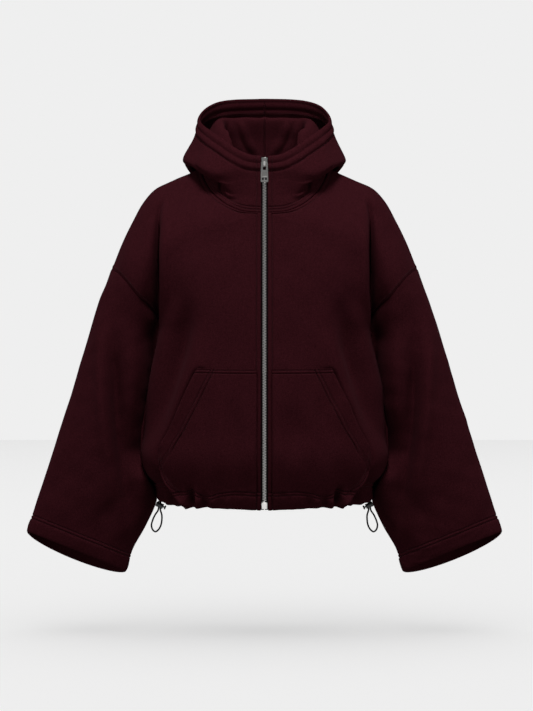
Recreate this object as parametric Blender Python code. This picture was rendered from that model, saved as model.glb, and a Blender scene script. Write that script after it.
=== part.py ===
"""A zip-up hoodie, hollow and closed, in the shape it has when it is worn.

Metres, +Z up, the front faces -Y. The origin is the middle of the base of the neck.
Every piece of cloth is a sheet of its outer surface, worked out for the side at +X and
mirrored, then given its wall. Sheets that are sewn together share the points of their
seam, so that their walls meet there with SEAM_GAP between them.
"""
import math

import bmesh
import bpy
import numpy as np
from mathutils import Matrix, Vector

# ------------------------------------------------------------------ driving sizes
CLOTH = 0.0026            # one layer of brushed fleece
HEM_CLOTH = 0.0050        # where an edge is turned in and stitched down
SEAM_GAP = 0.0003         # between two pieces of cloth that are sewn together
ON_PANEL = 0.0009         # between a panel and the pocket that lies on it

ZIP_EDGE = 0.0068         # from the centre line to the edge of each front
CHAIN_HALF = 0.0040       # half the width of the closed zip chain
CHAIN_DEPTH = 0.0026
TAPE_SEAM = 0.0060        # how far the tape reaches in behind each front
TAPE_CLOTH = 0.0010
TAPE_GAP = 0.0006         # between the tape and the fronts and hood before it

UNDERARM = -0.325
HEM = -0.652              # lowest edge of the body, at the zip
HEM_TURN = 0.028          # depth of the turned hems
HEM_LIFT = 0.012          # how much higher the hem is at the side seams
LIFT_FADES = 0.15         # height over which that lift dies out

SQUARENESS = 2.4          # of the body's sections: 2 is an ellipse
GATHER_COUNT = 3          # waves of the drawn-in hem on a quarter of the body
GATHER_DEPTH = 0.0045
GATHER_FADES = 0.035      # height over which the waves die out above the hem
GATHER_STARTS = 0.52      # quarter turns from the zip, and from the centre back
GATHER_EASE = 0.25        # quarter turns over which they reach their depth
HEM_WALL_FROM = 0.13      # quarter turns from the zip to where the hem's doubled wall begins

FLANK_GAP = 0.0025        # least gap between a sleeve and the body beside it
FLANK_EASE = 0.0022       # how softly the sleeve bends round the body there


def table(columns, rows):
    """A short table's columns by name, each an array with one value a row."""
    return {name: np.array(values, float) for name, values in zip(columns.split(), zip(*rows))}


# Body sections below the underarm: half the width at each height.
BODY = table("z half_width", [
    (-0.652, 0.197),
    (-0.640, 0.200),
    (-0.620, 0.206),
    (-0.598, 0.2185),
    (-0.560, 0.2275),
    (-0.520, 0.2275),
    (-0.460, 0.2200),
    (-0.400, 0.2095),
    (-0.350, 0.2005),
    (-0.325, 0.1970)])

# Depth of the front along the zip, from the hem to the hood's edge.
FRONT_LINE = table("z y", [
    (-0.652, -0.131),
    (-0.625, -0.139),
    (-0.580, -0.150),
    (-0.500, -0.156),
    (-0.400, -0.152),
    (-0.325, -0.145),
    (-0.250, -0.135),
    (-0.180, -0.121),
    (-0.106, -0.101),
    (-0.050, -0.096),
    (-0.001, -0.093)])

# Depth of the back along its centre, from the hem to the neck seam.
BACK_LINE = table("z y", [
    (-0.652, 0.116),
    (-0.620, 0.125),
    (-0.580, 0.136),
    (-0.500, 0.142),
    (-0.400, 0.139),
    (-0.325, 0.135),
    (-0.220, 0.129),
    (-0.120, 0.116),
    (-0.050, 0.101),
    (0.008, 0.085)])

# Neck seam from the zip round to the high shoulder point, and from the centre back to it.
NECK_FRONT_HALF = table("x y z", [
    (0.0068, -0.101, -0.106),
    (0.042, -0.0955, -0.102),
    (0.067, -0.083, -0.091),
    (0.086, -0.066, -0.077),
    (0.104, -0.040, -0.055),
    (0.1155, -0.017, -0.031),
    (0.120, 0.004, -0.014)])
NECK_BACK_HALF = table("x y z", [
    (0.0, 0.085, 0.008),
    (0.045, 0.0795, 0.006),
    (0.085, 0.061, 0.001),
    (0.110, 0.034, -0.006),
    (0.120, 0.004, -0.014)])

# Shoulder seam from the neck to the tip of the dropped shoulder.
SHOULDER = table("x y z", [
    (0.120, 0.004, -0.014),
    (0.1406, 0.005, -0.0245),
    (0.1708, 0.006, -0.0377),
    (0.2090, 0.008, -0.0555),
    (0.2300, 0.009, -0.0790),
    (0.2490, 0.010, -0.1132),
    (0.2675, 0.010, -0.1509),
    (0.2897, 0.010, -0.2057)])

# Armhole from the underarm to that tip: it crosses the front at one depth, the back at another.
ARMHOLE = table("x front_y back_y z", [
    (0.1970, 0.000, 0.000, -0.325),
    (0.1965, -0.024, 0.026, -0.314),
    (0.2000, -0.047, 0.052, -0.296),
    (0.2155, -0.063, 0.070, -0.2745),
    (0.2345, -0.070, 0.078, -0.258),
    (0.2500, -0.065, 0.074, -0.2400),
    (0.2710, -0.038, 0.052, -0.2180),
    (0.2897, 0.010, 0.010, -0.2057)])

# Sleeve rings: "down" is the share of the sleeve's length; inner and outer are the ring's
# edges in the front view; front and back are its depths there.
SLEEVE = table("down inner_x inner_z outer_x outer_z front back", [
    (0.090, 0.1920, -0.366, 0.3050, -0.2480, 0.070, 0.082),
    (0.205, 0.1980, -0.418, 0.3245, -0.3050, 0.076, 0.086),
    (0.347, 0.2030, -0.483, 0.3462, -0.3774, 0.080, 0.086),
    (0.498, 0.2065, -0.552, 0.3689, -0.4528, 0.080, 0.084),
    (0.650, 0.1960, -0.617, 0.3934, -0.5283, 0.074, 0.078),
    (0.808, 0.2230, -0.688, 0.4185, -0.6080, 0.064, 0.068),
    (0.905, 0.2480, -0.733, 0.4345, -0.6560, 0.055, 0.060),
    (1.000, 0.2617, -0.7764, 0.4494, -0.7019, 0.046, 0.054)])
SLEEVE_MIDDLE = 0.012     # the sleeve hangs this far behind the side seam
CUFF_FRONT_RISE = 0.006   # the sleeve's hem is higher in front than its corners
CUFF_BACK_DROP = 0.023    # and lower behind
CUFF_DIRECTION = Vector((0.369, 0.0, -0.929))
CUFF_SHAPE_FROM = 0.6     # share of the sleeve's length where that tilt begins
SLEEVE_ROUNDNESS = 0.9    # of the sleeve's sections: 1 is an ellipse

# Hood sections by angle from the zip to the centre back. Each runs from the neck seam up
# to a crest, over and down to the bottom of the fallen bag, out to the roll, and up to the
# rim. These runs bow in or out between their ends, by shares of the way from crest to roll.
RISE_BOW = -0.09          # of the run up to the crest
FALL_BOW = 0.16           # of the run down to the bag
SLOPE_BOW = -0.09         # of the run from the roll up to the rim
FOLD_HALF = 0.0055        # half the width of the bends at the crest and under the bag
FOLD_STARTS = 42.0        # angle from the zip where the hood begins to be folded
FOLDED_FROM = 64.0        # and from which it is folded flat
STANDING_HALF = 0.4       # share of FOLD_HALF left at the bends where it stands up
HOOD = table("angle crest_x crest_y crest_z bag_x bag_y bag_z roll_x roll_y roll_z rim_x rim_y rim_z", [
    (0, 0.0068, -0.0980, -0.075, 0.0068, -0.0962, -0.047, 0.0068, -0.0945, -0.022, 0.0068, -0.093, -0.001),
    (25.7, 0.0430, -0.0880, -0.072, 0.0420, -0.0880, -0.045, 0.0400, -0.0890, -0.022, 0.0310, -0.087, 0.003),
    (38.6, 0.0690, -0.0750, -0.068, 0.0660, -0.0800, -0.050, 0.0630, -0.0840, -0.030, 0.0445, -0.080, 0.010),
    (51.4, 0.0802, -0.0580, -0.048, 0.0885, -0.0715, -0.045, 0.0880, -0.0785, -0.032, 0.0570, -0.071, 0.018),
    (64.3, 0.0660, -0.0400, 0.004, 0.0990, -0.0600, -0.040, 0.1100, -0.0690, -0.025, 0.0740, -0.058, 0.031),
    (77.1, 0.0700, -0.0230, 0.044, 0.1160, -0.0400, -0.026, 0.1330, -0.0430, -0.012, 0.0960, -0.036, 0.048),
    (90, 0.0810, 0.0000, 0.058, 0.1360, 0.0000, -0.012, 0.1500, 0.0000, -0.003, 0.1185, 0.000, 0.069),
    (120, 0.0840, 0.0480, 0.079, 0.1360, 0.0850, -0.020, 0.1480, 0.0900, 0.000, 0.1130, 0.055, 0.104),
    (150, 0.0520, 0.0790, 0.087, 0.0860, 0.1290, -0.083, 0.0960, 0.1550, -0.030, 0.0760, 0.099, 0.124),
    (180, 0.0000, 0.0880, 0.090, 0.0000, 0.1500, -0.106, 0.0000, 0.1830, -0.038, 0.0000, 0.118, 0.130)])
HOOD_CLOTH = 0.0030

# Soft folds pressed into front and back along a line in the front view. They start softly,
# are at their full depth at FOLD_FULL of the line, and end at FOLD_ENDS.
FOLDS = table("x0 z0 x1 z1 width_in width_out depth", [
    (0.200, -0.095, 0.197, -0.330, 0.020, 0.034, 0.016)])
FOLD_FULL = 0.625
FOLD_ENDS = 1.12
FOLD_END_EASE = 0.2
FOLD_SPARES = 0.012       # no fold reaches nearer to the middle plane than this
FOLD_FULL_AWAY = 0.047    # and it is whole only this far from it

# Patch pocket on each front, in the front view.
POCKET_TOP = -0.3935
POCKET_BOTTOM = -0.6185
POCKET_INNER = 0.0142
POCKET_EDGE = table("z x", [
    (-0.6185, 0.160),
    (-0.600, 0.176),
    (-0.580, 0.187),
    (-0.544, 0.1894),
    (-0.500, 0.1690),
    (-0.450, 0.1460),
    (-0.3935, 0.1200)])

# How finely the sheets are divided.
BODY_HEIGHTS_FINE = (-0.652, -0.638, -0.624, -0.610, -0.592, -0.570)
BODY_HEIGHTS_COARSE = (-0.535, -0.495, -0.450, -0.405, -0.363)
COLUMNS = 14              # of a quarter of the body above the gathers, twice as many in them
CLOSER = 0.3              # how much closer together they are at the side
CHEST_ROWS = 6            # from the underarm to the neck corner
NECK_ROWS = 7             # from there to the shoulder seam
HOOD_ROWS = (3, 2, 2, 2, 2, 2, 2, 2, 3)   # between the stations of a hood section
SLEEVE_DOWN = (0.03, 0.09, 0.16, 0.24, 0.33, 0.43, 0.53, 0.63, 0.73, 0.83, 0.90, 0.946, 1.0)

# Zip slider, pull and box.
SLIDER_TOP = -0.0040
SLIDER_BOTTOM = -0.0215
SLIDER_WIDTH = 0.0115
SLIDER_FACE = 0.0026      # the slider's front face stands this far before the fronts
SLIDER_BACK = 0.0022      # and its back face this far behind them
METAL_BEVEL = 0.0008
HINGE_Z = -0.0152         # axis of the pull's bar
HINGE_OUT = 0.00175       # that axis before the slider's face
PULL_THICK = 0.0018
PULL_BAR = 0.0025         # width of the bar that turns in the bridge
PULL_LENGTH = 0.036
PULL_WIDTH = (0.0118, 0.0141)   # at the bar and at the free end
PULL_CORNER = (0.0015, 0.0030)
WINDOW_HALF = (0.0031, 0.0029)  # half the width of the pull's window, at its top and bottom
WINDOW_BOTTOM = 0.0122          # below the pull's axis
WINDOW_CORNER = (0.0008, 0.0020)
SLOT_HALF = 0.0016        # half the width of the two slots at the pull's free end
SLOT_FROM_MIDDLE = 0.0034
SLOT_TOP = 0.0065         # above the free end
SLOT_BOTTOM = 0.0032
SLOT_CORNER = 0.0007
BRIDGE_WIDTH = 0.0036
BRIDGE_THICK = 0.0012
BRIDGE_BELOW = 0.0040     # from the pull's axis to the ends of the bridge
BRIDGE_ABOVE = 0.0037
BRIDGE_BEVEL = 0.0004
BRIDGE_FOOT = 0.0010      # how far it is let into the slider
TUNNEL_HALF = 0.0020      # half the height of the opening under the bridge
BOX_HALF = 0.0053
BOX_FRONT = 0.0012        # how far the box reaches before the fronts
BOX_BACK = 0.0026         # and behind
BOX_TOP = -0.6362
BOX_BOTTOM = -0.6495
METAL_GAP = 0.0003        # between the chain and the slider or the box

# Cord locks at the hem.
LOCK_CENTRE = Vector((0.1962, -0.032, -0.6490))
LOCK_TILT = math.radians(24.0)
LOCK_RADIUS = 0.0048
LOCK_LENGTH = 0.0145
BUTTON_RADIUS = 0.0038
BUTTON_CAP = 0.0030
BUTTON_TRAVEL = 0.0020
STEM_RADIUS = 0.0016
STEM_DEPTH = 0.0012       # of the stem inside the lock when the button is out
FIT = 0.0003              # running clearance
CORD_RADIUS = 0.0013
STRAND_APART = 0.0032     # between the two strands where they pass the lock
LOOP_BOTTOM = 0.0500      # from the lock's middle to the bottom of the loop
LOOP_LEAN_FULL = 0.0520   # and to where it has swung all the way outwards
LOOP_LEAN = 0.0080        # how far its bottom swings outwards
# One side of the cord's loop, from inside the hem to just above its bottom, from the lock's middle.
LOOP_SIDE = table("x z", [
    (0.0016, 0.0078),
    (0.0016, 0.0030),
    (0.0016, -0.0030),
    (0.0020, -0.0090),
    (0.0062, -0.0180),
    (0.0085, -0.0280),
    (0.0088, -0.0380),
    (0.0045, -0.0470)])
LOCK_HOLE_HALF = 0.012    # the cord's holes are cut this far above and below the lock's middle


# ------------------------------------------------------------------ curves and surfaces
def spline(knots, values, at):
    """A smooth curve through values at the given knots, read at each of at."""
    knots = np.asarray(knots, float)
    values = np.asarray(values, float)
    at = np.clip(np.asarray(at, float), knots[0], knots[-1])
    slopes = np.gradient(values, knots, axis=0)
    low = np.clip(np.searchsorted(knots, at, side="right") - 1, 0, len(knots) - 2)
    span = knots[low + 1] - knots[low]
    t = (at - knots[low]) / span
    if values.ndim > 1:
        t = t.reshape(-1, *[1] * (values.ndim - 1))
        span = span.reshape(t.shape)
    ease = t * t * (3 - 2 * t)
    start = values[low] * (1 - ease) + values[low + 1] * ease
    return start + span * t * (1 - t) * (slopes[low] * (1 - t) - slopes[low + 1] * t)


def read(columns, key, name, at):
    """A table's column as a smooth curve over another of its columns."""
    return spline(columns[key], columns[name], at)


def along(points, shares):
    """Points of a smooth curve through the given ones, at shares of its length."""
    points = np.asarray(points, float)
    steps = np.linalg.norm(np.diff(points, axis=0), axis=1)
    knots = np.concatenate([[0.0], np.cumsum(steps)])
    return spline(knots / knots[-1], points, shares)


def smooth_step(value):
    value = np.clip(value, 0.0, 1.0)
    return value * value * (3 - 2 * value)


def unit(vectors):
    return vectors / np.linalg.norm(vectors, axis=-1, keepdims=True)


def points_of(columns, names="x y z"):
    return np.stack([columns[name] for name in names.split()], axis=1)


def body_point(turn, height):
    """A point of the body: turn is 0 at the zip, 1 at the side seam, 2 at the centre back."""
    half_width = read(BODY, "z", "half_width", height)
    in_front = turn <= 1.0
    inner = ZIP_EDGE if in_front else 0.0
    depth = read(FRONT_LINE, "z", "y", height) if in_front else read(BACK_LINE, "z", "y", height)
    angle = turn * math.pi / 2
    across = abs(math.sin(angle)) ** (2 / SQUARENESS)
    forward = abs(math.cos(angle)) ** (2 / SQUARENESS)
    point = np.array([inner + (half_width - inner) * across, depth * forward, float(height)])
    outward = np.array([point[0] / half_width ** 2, point[1] / depth ** 2, 0.0])
    outward /= np.linalg.norm(outward)
    from_edge = turn if in_front else 2.0 - turn
    reach = smooth_step((from_edge - GATHER_STARTS) / GATHER_EASE)
    fade = math.exp(-max(0.0, height - HEM - HEM_TURN) / GATHER_FADES)
    wave = math.cos(2 * math.pi * GATHER_COUNT * (from_edge - GATHER_STARTS) / (1 - GATHER_STARTS))
    point += outward * GATHER_DEPTH * reach * fade * wave
    lift = HEM_LIFT * math.sin(angle) ** 2
    point[2] += lift * smooth_step(1 - (height - HEM) / LIFT_FADES)
    return point


def body_grid(turns, heights):
    return np.array([[body_point(turn, height) for turn in turns] for height in heights])


def patch(bottom, top, left, right, across, up):
    """The surface spanned by four edge curves; its rows run from bottom to top."""
    u = across[None, :, None]
    v = up[:, None, None]
    ruled = (1 - v) * bottom[None] + v * top[None] + (1 - u) * left[:, None] + u * right[:, None]
    corners = ((1 - u) * (1 - v) * left[0] + u * (1 - v) * right[0]
               + (1 - u) * v * left[-1] + u * v * right[-1])
    return ruled - corners


def pressed(points):
    """The points with the soft folds pressed in: backwards in front, forwards behind."""
    moved = np.array(points, float)
    flat = moved.reshape(-1, 3)
    for x0, z0, x1, z1, inside, outside, depth in zip(*FOLDS.values()):
        start = np.array([x0, z0])
        line = np.array([x1, z1]) - start
        length = np.linalg.norm(line)
        offset = flat[:, (0, 2)] - start
        share = offset @ line / length ** 2
        beside = (offset[:, 0] * -line[1] + offset[:, 1] * line[0]) / length
        width = np.where(beside < 0, inside, outside)
        hollow = np.exp(-(beside / width) ** 2) * smooth_step(share / FOLD_FULL)
        hollow *= smooth_step((FOLD_ENDS - share) / FOLD_END_EASE)
        away = (np.abs(flat[:, 1]) - FOLD_SPARES) / (FOLD_FULL_AWAY - FOLD_SPARES)
        flat[:, 1] -= depth * hollow * smooth_step(away) * np.sign(flat[:, 1])
    return moved


def columns_across(count):
    """Shares across a panel, closer together towards the side."""
    even = np.linspace(0.0, 1.0, count + 1)
    return even * (1 + CLOSER - CLOSER * even)


def chest_rows():
    """Shares up a panel's upper part: the underarm is 0, the neck corner CHEST_ROWS, the top 1."""
    return np.linspace(0.0, 1.0, CHEST_ROWS + NECK_ROWS + 1)


def upper_patch(in_front):
    """The front or back of the right half above the underarm, out to the armhole."""
    across = columns_across(COLUMNS)
    up = chest_rows()
    turns = across if in_front else 2.0 - across
    bottom = body_grid(turns, [UNDERARM])[0]
    top = along(points_of(SHOULDER), across)
    line = FRONT_LINE if in_front else BACK_LINE
    neck = points_of(NECK_FRONT_HALF if in_front else NECK_BACK_HALF)
    heights = np.linspace(UNDERARM, neck[0][2], CHEST_ROWS + 1)
    edge = [(neck[0][0], read(line, "z", "y", height), height) for height in heights[:-1]]
    left = np.concatenate([edge, along(neck, np.linspace(0.0, 1.0, NECK_ROWS + 1))])
    right = along(points_of(ARMHOLE, "x front_y z" if in_front else "x back_y z"), up)
    return pressed(patch(bottom, top, left, right, across, up))


def flank(y, height):
    """How far out the body reaches at a depth and a height."""
    depth = np.where(y < 0, -read(FRONT_LINE, "z", "y", height), read(BACK_LINE, "z", "y", height))
    inside = np.clip(1 - (np.abs(y) / depth) ** SQUARENESS, 0.0, 1.0)
    return read(BODY, "z", "half_width", height) * inside ** (1 / SQUARENESS)


def sleeve_grid(front_edge, back_edge):
    """The right sleeve: columns go round from the underarm by the front, rows run down."""
    top = np.concatenate([front_edge, back_edge[-2::-1]])
    count = len(top) - 1
    angles = np.linspace(0.0, 2 * math.pi, count + 1)
    rings = [top]
    for down, inner_x, inner_z, outer_x, outer_z, front, back in zip(*SLEEVE.values()):
        inner = np.array([inner_x, SLEEVE_MIDDLE, inner_z])
        outer = np.array([outer_x, SLEEVE_MIDDLE, outer_z])
        deep = np.where(angles < math.pi, -front, back) * np.abs(np.sin(angles)) ** SLEEVE_ROUNDNESS
        tilt = np.where(angles < math.pi, -CUFF_FRONT_RISE, CUFF_BACK_DROP) * np.abs(np.sin(angles))
        tilt = tilt * smooth_step((down - CUFF_SHAPE_FROM) / (1 - CUFF_SHAPE_FROM))
        ring = (inner + outer) / 2 - np.cos(angles)[:, None] * (outer - inner) / 2
        ring[:, 1] += deep
        ring += tilt[:, None] * np.array(CUFF_DIRECTION)
        rings.append(ring)
    knots = np.concatenate([[0.0], SLEEVE["down"]])
    grid = spline(knots, np.array(rings), np.array((0.0,) + SLEEVE_DOWN))
    grid[1:] = pressed(grid[1:])
    beside = grid[1:]
    near = (beside[..., 2] > HEM - 0.02) & (beside[..., 2] < UNDERARM)
    least = flank(beside[..., 1], np.clip(beside[..., 2], HEM, UNDERARM)) + FLANK_GAP
    clear = least + FLANK_EASE * np.logaddexp(0.0, (beside[..., 0] - least) / FLANK_EASE)
    beside[..., 0] = np.where(near, clear, beside[..., 0])
    return grid


def hood_grid():
    """The right half of the hood: columns go from the zip to the centre back, rows run up."""
    shares = np.linspace(0.0, 1.0, NECK_ROWS + 1)
    neck = np.concatenate([along(points_of(NECK_FRONT_HALF), shares),
                           along(points_of(NECK_BACK_HALF), shares)[-2::-1]])
    angles = np.concatenate([90 * shares, 90 + 90 * shares[1:]])
    crest, bag, roll, rim = (
        np.stack([read(HOOD, "angle", name + axis, angles) for axis in ("_x", "_y", "_z")], axis=1)
        for name in ("crest", "bag", "roll", "rim"))
    folded = smooth_step((angles - FOLD_STARTS) / (FOLDED_FROM - FOLD_STARTS))[:, None]
    outward = roll - crest
    rise = (neck + crest) / 2 + RISE_BOW * folded * outward
    fall = (crest + bag) / 2 + FALL_BOW * folded * outward
    slope = (roll + rim) / 2 + SLOPE_BOW * folded * outward
    half = unit((1 - folded) * unit(rim - neck) + folded * unit(outward * (1, 1, 0)))
    half *= FOLD_HALF * (STANDING_HALF + (1 - STANDING_HALF) * folded)
    stations = np.array([neck, rise, crest - half, crest + half, fall, bag - half, bag + half,
                         roll, slope, rim])
    at_station = [0.0]
    for station, rows in enumerate(HOOD_ROWS):
        at_station.extend(station + np.linspace(0.0, 1.0, rows + 1)[1:])
    columns = []
    for column in range(len(angles)):
        points = stations[:, column]
        steps = np.sqrt(np.linalg.norm(np.diff(points, axis=0), axis=1))
        knots = np.concatenate([[0.0], np.cumsum(steps)])
        columns.append(spline(knots, points, np.interp(at_station, range(len(knots)), knots)))
    return np.array(columns).transpose(1, 0, 2)


# ------------------------------------------------------------------ sheets and their walls
class Sheet:
    """An open surface, with the wall's thickness at each of its points."""

    def __init__(self):
        self.index = {}
        self.points = []
        self.walls = []
        self.faces = []

    @staticmethod
    def key(point):
        """The same for points in one place."""
        return tuple(np.round(np.asarray(point) * 1e6).astype(int))

    def add(self, point, wall):
        key = self.key(point)
        if key not in self.index:
            self.index[key] = len(self.points)
            self.points.append(np.array(point, float))
            self.walls.append(wall)
        return self.index[key]

    def grid(self, grid, wall, turned=False):
        """Quads over a grid of points; turned faces them the other way."""
        rows, columns = grid.shape[:2]
        walls = np.broadcast_to(wall, (rows, columns))
        index = [[self.add(grid[r, c], walls[r, c]) for c in range(columns)] for r in range(rows)]
        for r in range(rows - 1):
            for c in range(columns - 1):
                face = [index[r][c], index[r][c + 1], index[r + 1][c + 1], index[r + 1][c]]
                self.faces.append(face[::-1] if turned else face)

    def widen(self, fine, coarse, wall, turned=False):
        """Faces between a row of points and a row of half as many above it."""
        low = [self.add(point, wall) for point in fine]
        high = [self.add(point, wall) for point in coarse]
        for c in range(len(high) - 1):
            face = [low[2 * c], low[2 * c + 1], low[2 * c + 2], high[c + 1], high[c]]
            self.faces.append(face[::-1] if turned else face)


def polygon_area(corners):
    middle = sum(corners) / len(corners)
    area = np.zeros(3)
    for a, b in zip(corners, corners[1:] + corners[:1]):
        area += np.cross(a - middle, b - middle)
    return area


def own_normals(sheets):
    """Outward directions at the points of sheets that run smoothly into each other."""
    total = {}
    for sheet in sheets:
        keys = {index: key for key, index in sheet.index.items()}
        for face in sheet.faces:
            area = polygon_area([sheet.points[i] for i in face])
            for corner in face:
                total[keys[corner]] = total.get(keys[corner], 0) + area
    for key, normal in total.items():
        if abs(key[0]) < 2:
            normal[0] = 0.0
        total[key] = normal / np.linalg.norm(normal)
    return total


def shared_normals(*groups):
    """Outward directions at every point. Where groups meet at a seam both have the direction
    midway between their own, so that a folded seam is mitred."""
    total = {}
    for group in groups:
        for key, normal in own_normals(group).items():
            total[key] = total.get(key, 0) + normal
    return {key: normal / np.linalg.norm(normal) for key, normal in total.items()}


def border_edges(faces):
    """Edges that only one face has, in that face's direction."""
    count = {}
    for face in faces:
        for a, b in zip(face, face[1:] + face[:1]):
            count[(a, b)] = count.get((a, b), 0) + 1
    return [edge for edge in count if (edge[1], edge[0]) not in count]


def mirrored(sheet):
    """The same sheet on the other side of the body."""
    other = Sheet()
    for point, wall in zip(sheet.points, sheet.walls):
        other.add(point * (-1, 1, 1), wall)
    other.faces = [face[::-1] for face in sheet.faces]
    return other


def split(face, points):
    """The face cut into triangles that all meet at its corner nearest to the middle."""
    middle = sum(points[i] for i in face) / len(face)
    first = min(range(len(face)), key=lambda at: np.linalg.norm(points[face[at]] - middle))
    face = face[first:] + face[:first]
    return [[face[0], face[i], face[i + 1]] for i in range(1, len(face) - 1)]


def wall_mesh(name, sheet, normals):
    """A closed wall: the sheet outside, its copy a wall's thickness inside, and the rims."""
    keys = sorted(sheet.index, key=sheet.index.get)
    normal = np.array([normals[key] for key in keys])
    outer = np.array(sheet.points)
    border = border_edges(sheet.faces)
    inward = np.zeros_like(outer)
    for a, b in border:
        edge = outer[b] - outer[a]
        edge /= np.linalg.norm(edge)
        for corner in (a, b):
            inward[corner] += np.cross(normal[corner], edge)
    length = np.linalg.norm(inward, axis=1)
    moved = length > 1e-6
    outer[moved] += inward[moved] / length[moved][:, None] * SEAM_GAP / 2
    inner = outer - normal * np.array(sheet.walls)[:, None]
    count = len(outer)
    points = np.concatenate([outer, inner])
    faces = [part for face in sheet.faces for part in split(face, points)]
    faces += [[i + count for i in face[::-1]] for face in faces]
    for a, b in border:
        faces += split([b, a, a + count, b + count], points)
    mesh = bpy.data.meshes.new(name)
    mesh.from_pydata(points.tolist(), [], faces)
    mesh.validate()
    return mesh


# ------------------------------------------------------------------ objects and materials
def material(name, color, roughness, metallic=0.0):
    made = bpy.data.materials.new(name)
    made.use_nodes = True
    shader = made.node_tree.nodes["Principled BSDF"]
    shader.inputs["Base Color"].default_value = (*color, 1.0)
    shader.inputs["Roughness"].default_value = roughness
    shader.inputs["Metallic"].default_value = metallic
    made.diffuse_color = (*color, 1.0)
    return made


def place(name, mesh, finish, collection, smooth=True):
    thing = bpy.data.objects.new(name, mesh)
    collection.objects.link(thing)
    mesh.materials.clear()
    mesh.materials.append(finish)
    if smooth:
        mesh.shade_smooth()
        mesh.set_sharp_from_angle(angle=math.radians(50))
    return thing


def add_cloth(name, sheet, normals, finish, collection):
    return place(name, wall_mesh(name, sheet, normals), finish, collection)


def block(low, high, bevel=0.0):
    """A box between two corners, with bevelled edges where asked."""
    shape = bmesh.new()
    low, high = Vector(low), Vector(high)
    size = Matrix.Diagonal((*(high - low), 1.0))
    bmesh.ops.create_cube(shape, size=1.0, matrix=Matrix.Translation((low + high) / 2) @ size)
    if bevel:
        bmesh.ops.bevel(shape, geom=shape.edges[:], offset=bevel, segments=2, affect="EDGES")
    mesh = bpy.data.meshes.new("block")
    shape.to_mesh(mesh)
    shape.free()
    return mesh


def rod(radius, low, high, direction, centre, sides=16):
    """A cylinder about an axis through centre, between two distances along it."""
    shape = bmesh.new()
    turn = Vector(direction).to_track_quat("Z", "Y").to_matrix().to_4x4()
    middle = Matrix.Translation(Vector(centre) + Vector(direction).normalized() * (low + high) / 2)
    bmesh.ops.create_cone(shape, cap_ends=True, segments=sides, radius1=radius, radius2=radius,
                          depth=high - low, matrix=middle @ turn)
    mesh = bpy.data.meshes.new("rod")
    shape.to_mesh(mesh)
    shape.free()
    return mesh


def boolean(thing, mesh, operation, helpers):
    """Joins a mesh to an object, or cuts it out of it."""
    tool = bpy.data.objects.new(thing.name + "_" + operation.lower(), mesh)
    helpers.objects.link(tool)
    tool.hide_render = True
    tool.display_type = "WIRE"
    cut = thing.modifiers.new(operation.title(), "BOOLEAN")
    cut.operation = operation
    cut.object = tool


# ------------------------------------------------------------------ the garment's pieces
def hem_walls(turns, heights):
    """Wall thickness over the lower body: doubled in the turned hem, not beside the zip."""
    walls = np.full((len(heights), len(turns)), CLOTH)
    for r, height in enumerate(heights):
        for c, turn in enumerate(turns):
            if height < HEM + HEM_TURN - 0.001 and turn > HEM_WALL_FROM:
                walls[r, c] = HEM_CLOTH
    return walls


def body_sheet(in_front):
    """The right half of the front or back, from the hem to the shoulder seam."""
    sheet = Sheet()
    fine = columns_across(2 * COLUMNS)
    fine[::2] = columns_across(COLUMNS)
    coarse = fine[::2]
    turns = fine if in_front else 2.0 - fine
    lower = body_grid(turns, BODY_HEIGHTS_FINE)
    walls = hem_walls(turns if in_front else np.full(len(fine), 1.0), BODY_HEIGHTS_FINE)
    sheet.grid(lower, walls, turned=not in_front)
    middle = body_grid(turns[::2], BODY_HEIGHTS_COARSE)
    sheet.widen(lower[-1], middle[0], CLOTH, turned=not in_front)
    upper = upper_patch(in_front)
    sheet.grid(np.concatenate([middle, upper]), CLOTH, turned=not in_front)
    return sheet, upper


def sleeve_sheet(front_upper, back_upper):
    sheet = Sheet()
    grid = sleeve_grid(front_upper[:, -1], back_upper[:, -1])
    walls = np.full(grid.shape[:2], CLOTH)
    walls[-2:] = HEM_CLOTH
    sheet.grid(grid, walls, turned=True)
    return sheet


def hood_sheet():
    sheet = Sheet()
    grid = hood_grid()
    walls = np.full(grid.shape[:2], HOOD_CLOTH)
    walls[-3:, 2:] = HEM_CLOTH
    sheet.grid(grid, walls)
    return sheet, grid


def pocket_sheet():
    """The pocket's outer surface, the front's own surface moved out."""
    heights = np.linspace(POCKET_BOTTOM, POCKET_TOP, 11)
    rows = []
    for height in heights:
        half_width = read(BODY, "z", "half_width", height)
        outer = read(POCKET_EDGE, "z", "x", height)
        across = (np.linspace(POCKET_INNER, outer, 13) - ZIP_EDGE) / (half_width - ZIP_EDGE)
        turns = np.arcsin(across ** (SQUARENESS / 2)) * 2 / math.pi
        rows.append([body_point(turn, height) for turn in turns])
    flat = Sheet()
    flat.grid(np.array(rows), CLOTH)
    normals = shared_normals([flat])
    keys = sorted(flat.index, key=flat.index.get)
    sheet = Sheet()
    lifted = [point + normals[key] * (ON_PANEL + CLOTH) for point, key in zip(flat.points, keys)]
    for point in lifted:
        sheet.add(point, CLOTH)
    sheet.faces = flat.faces
    return sheet, shared_normals([sheet])


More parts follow.
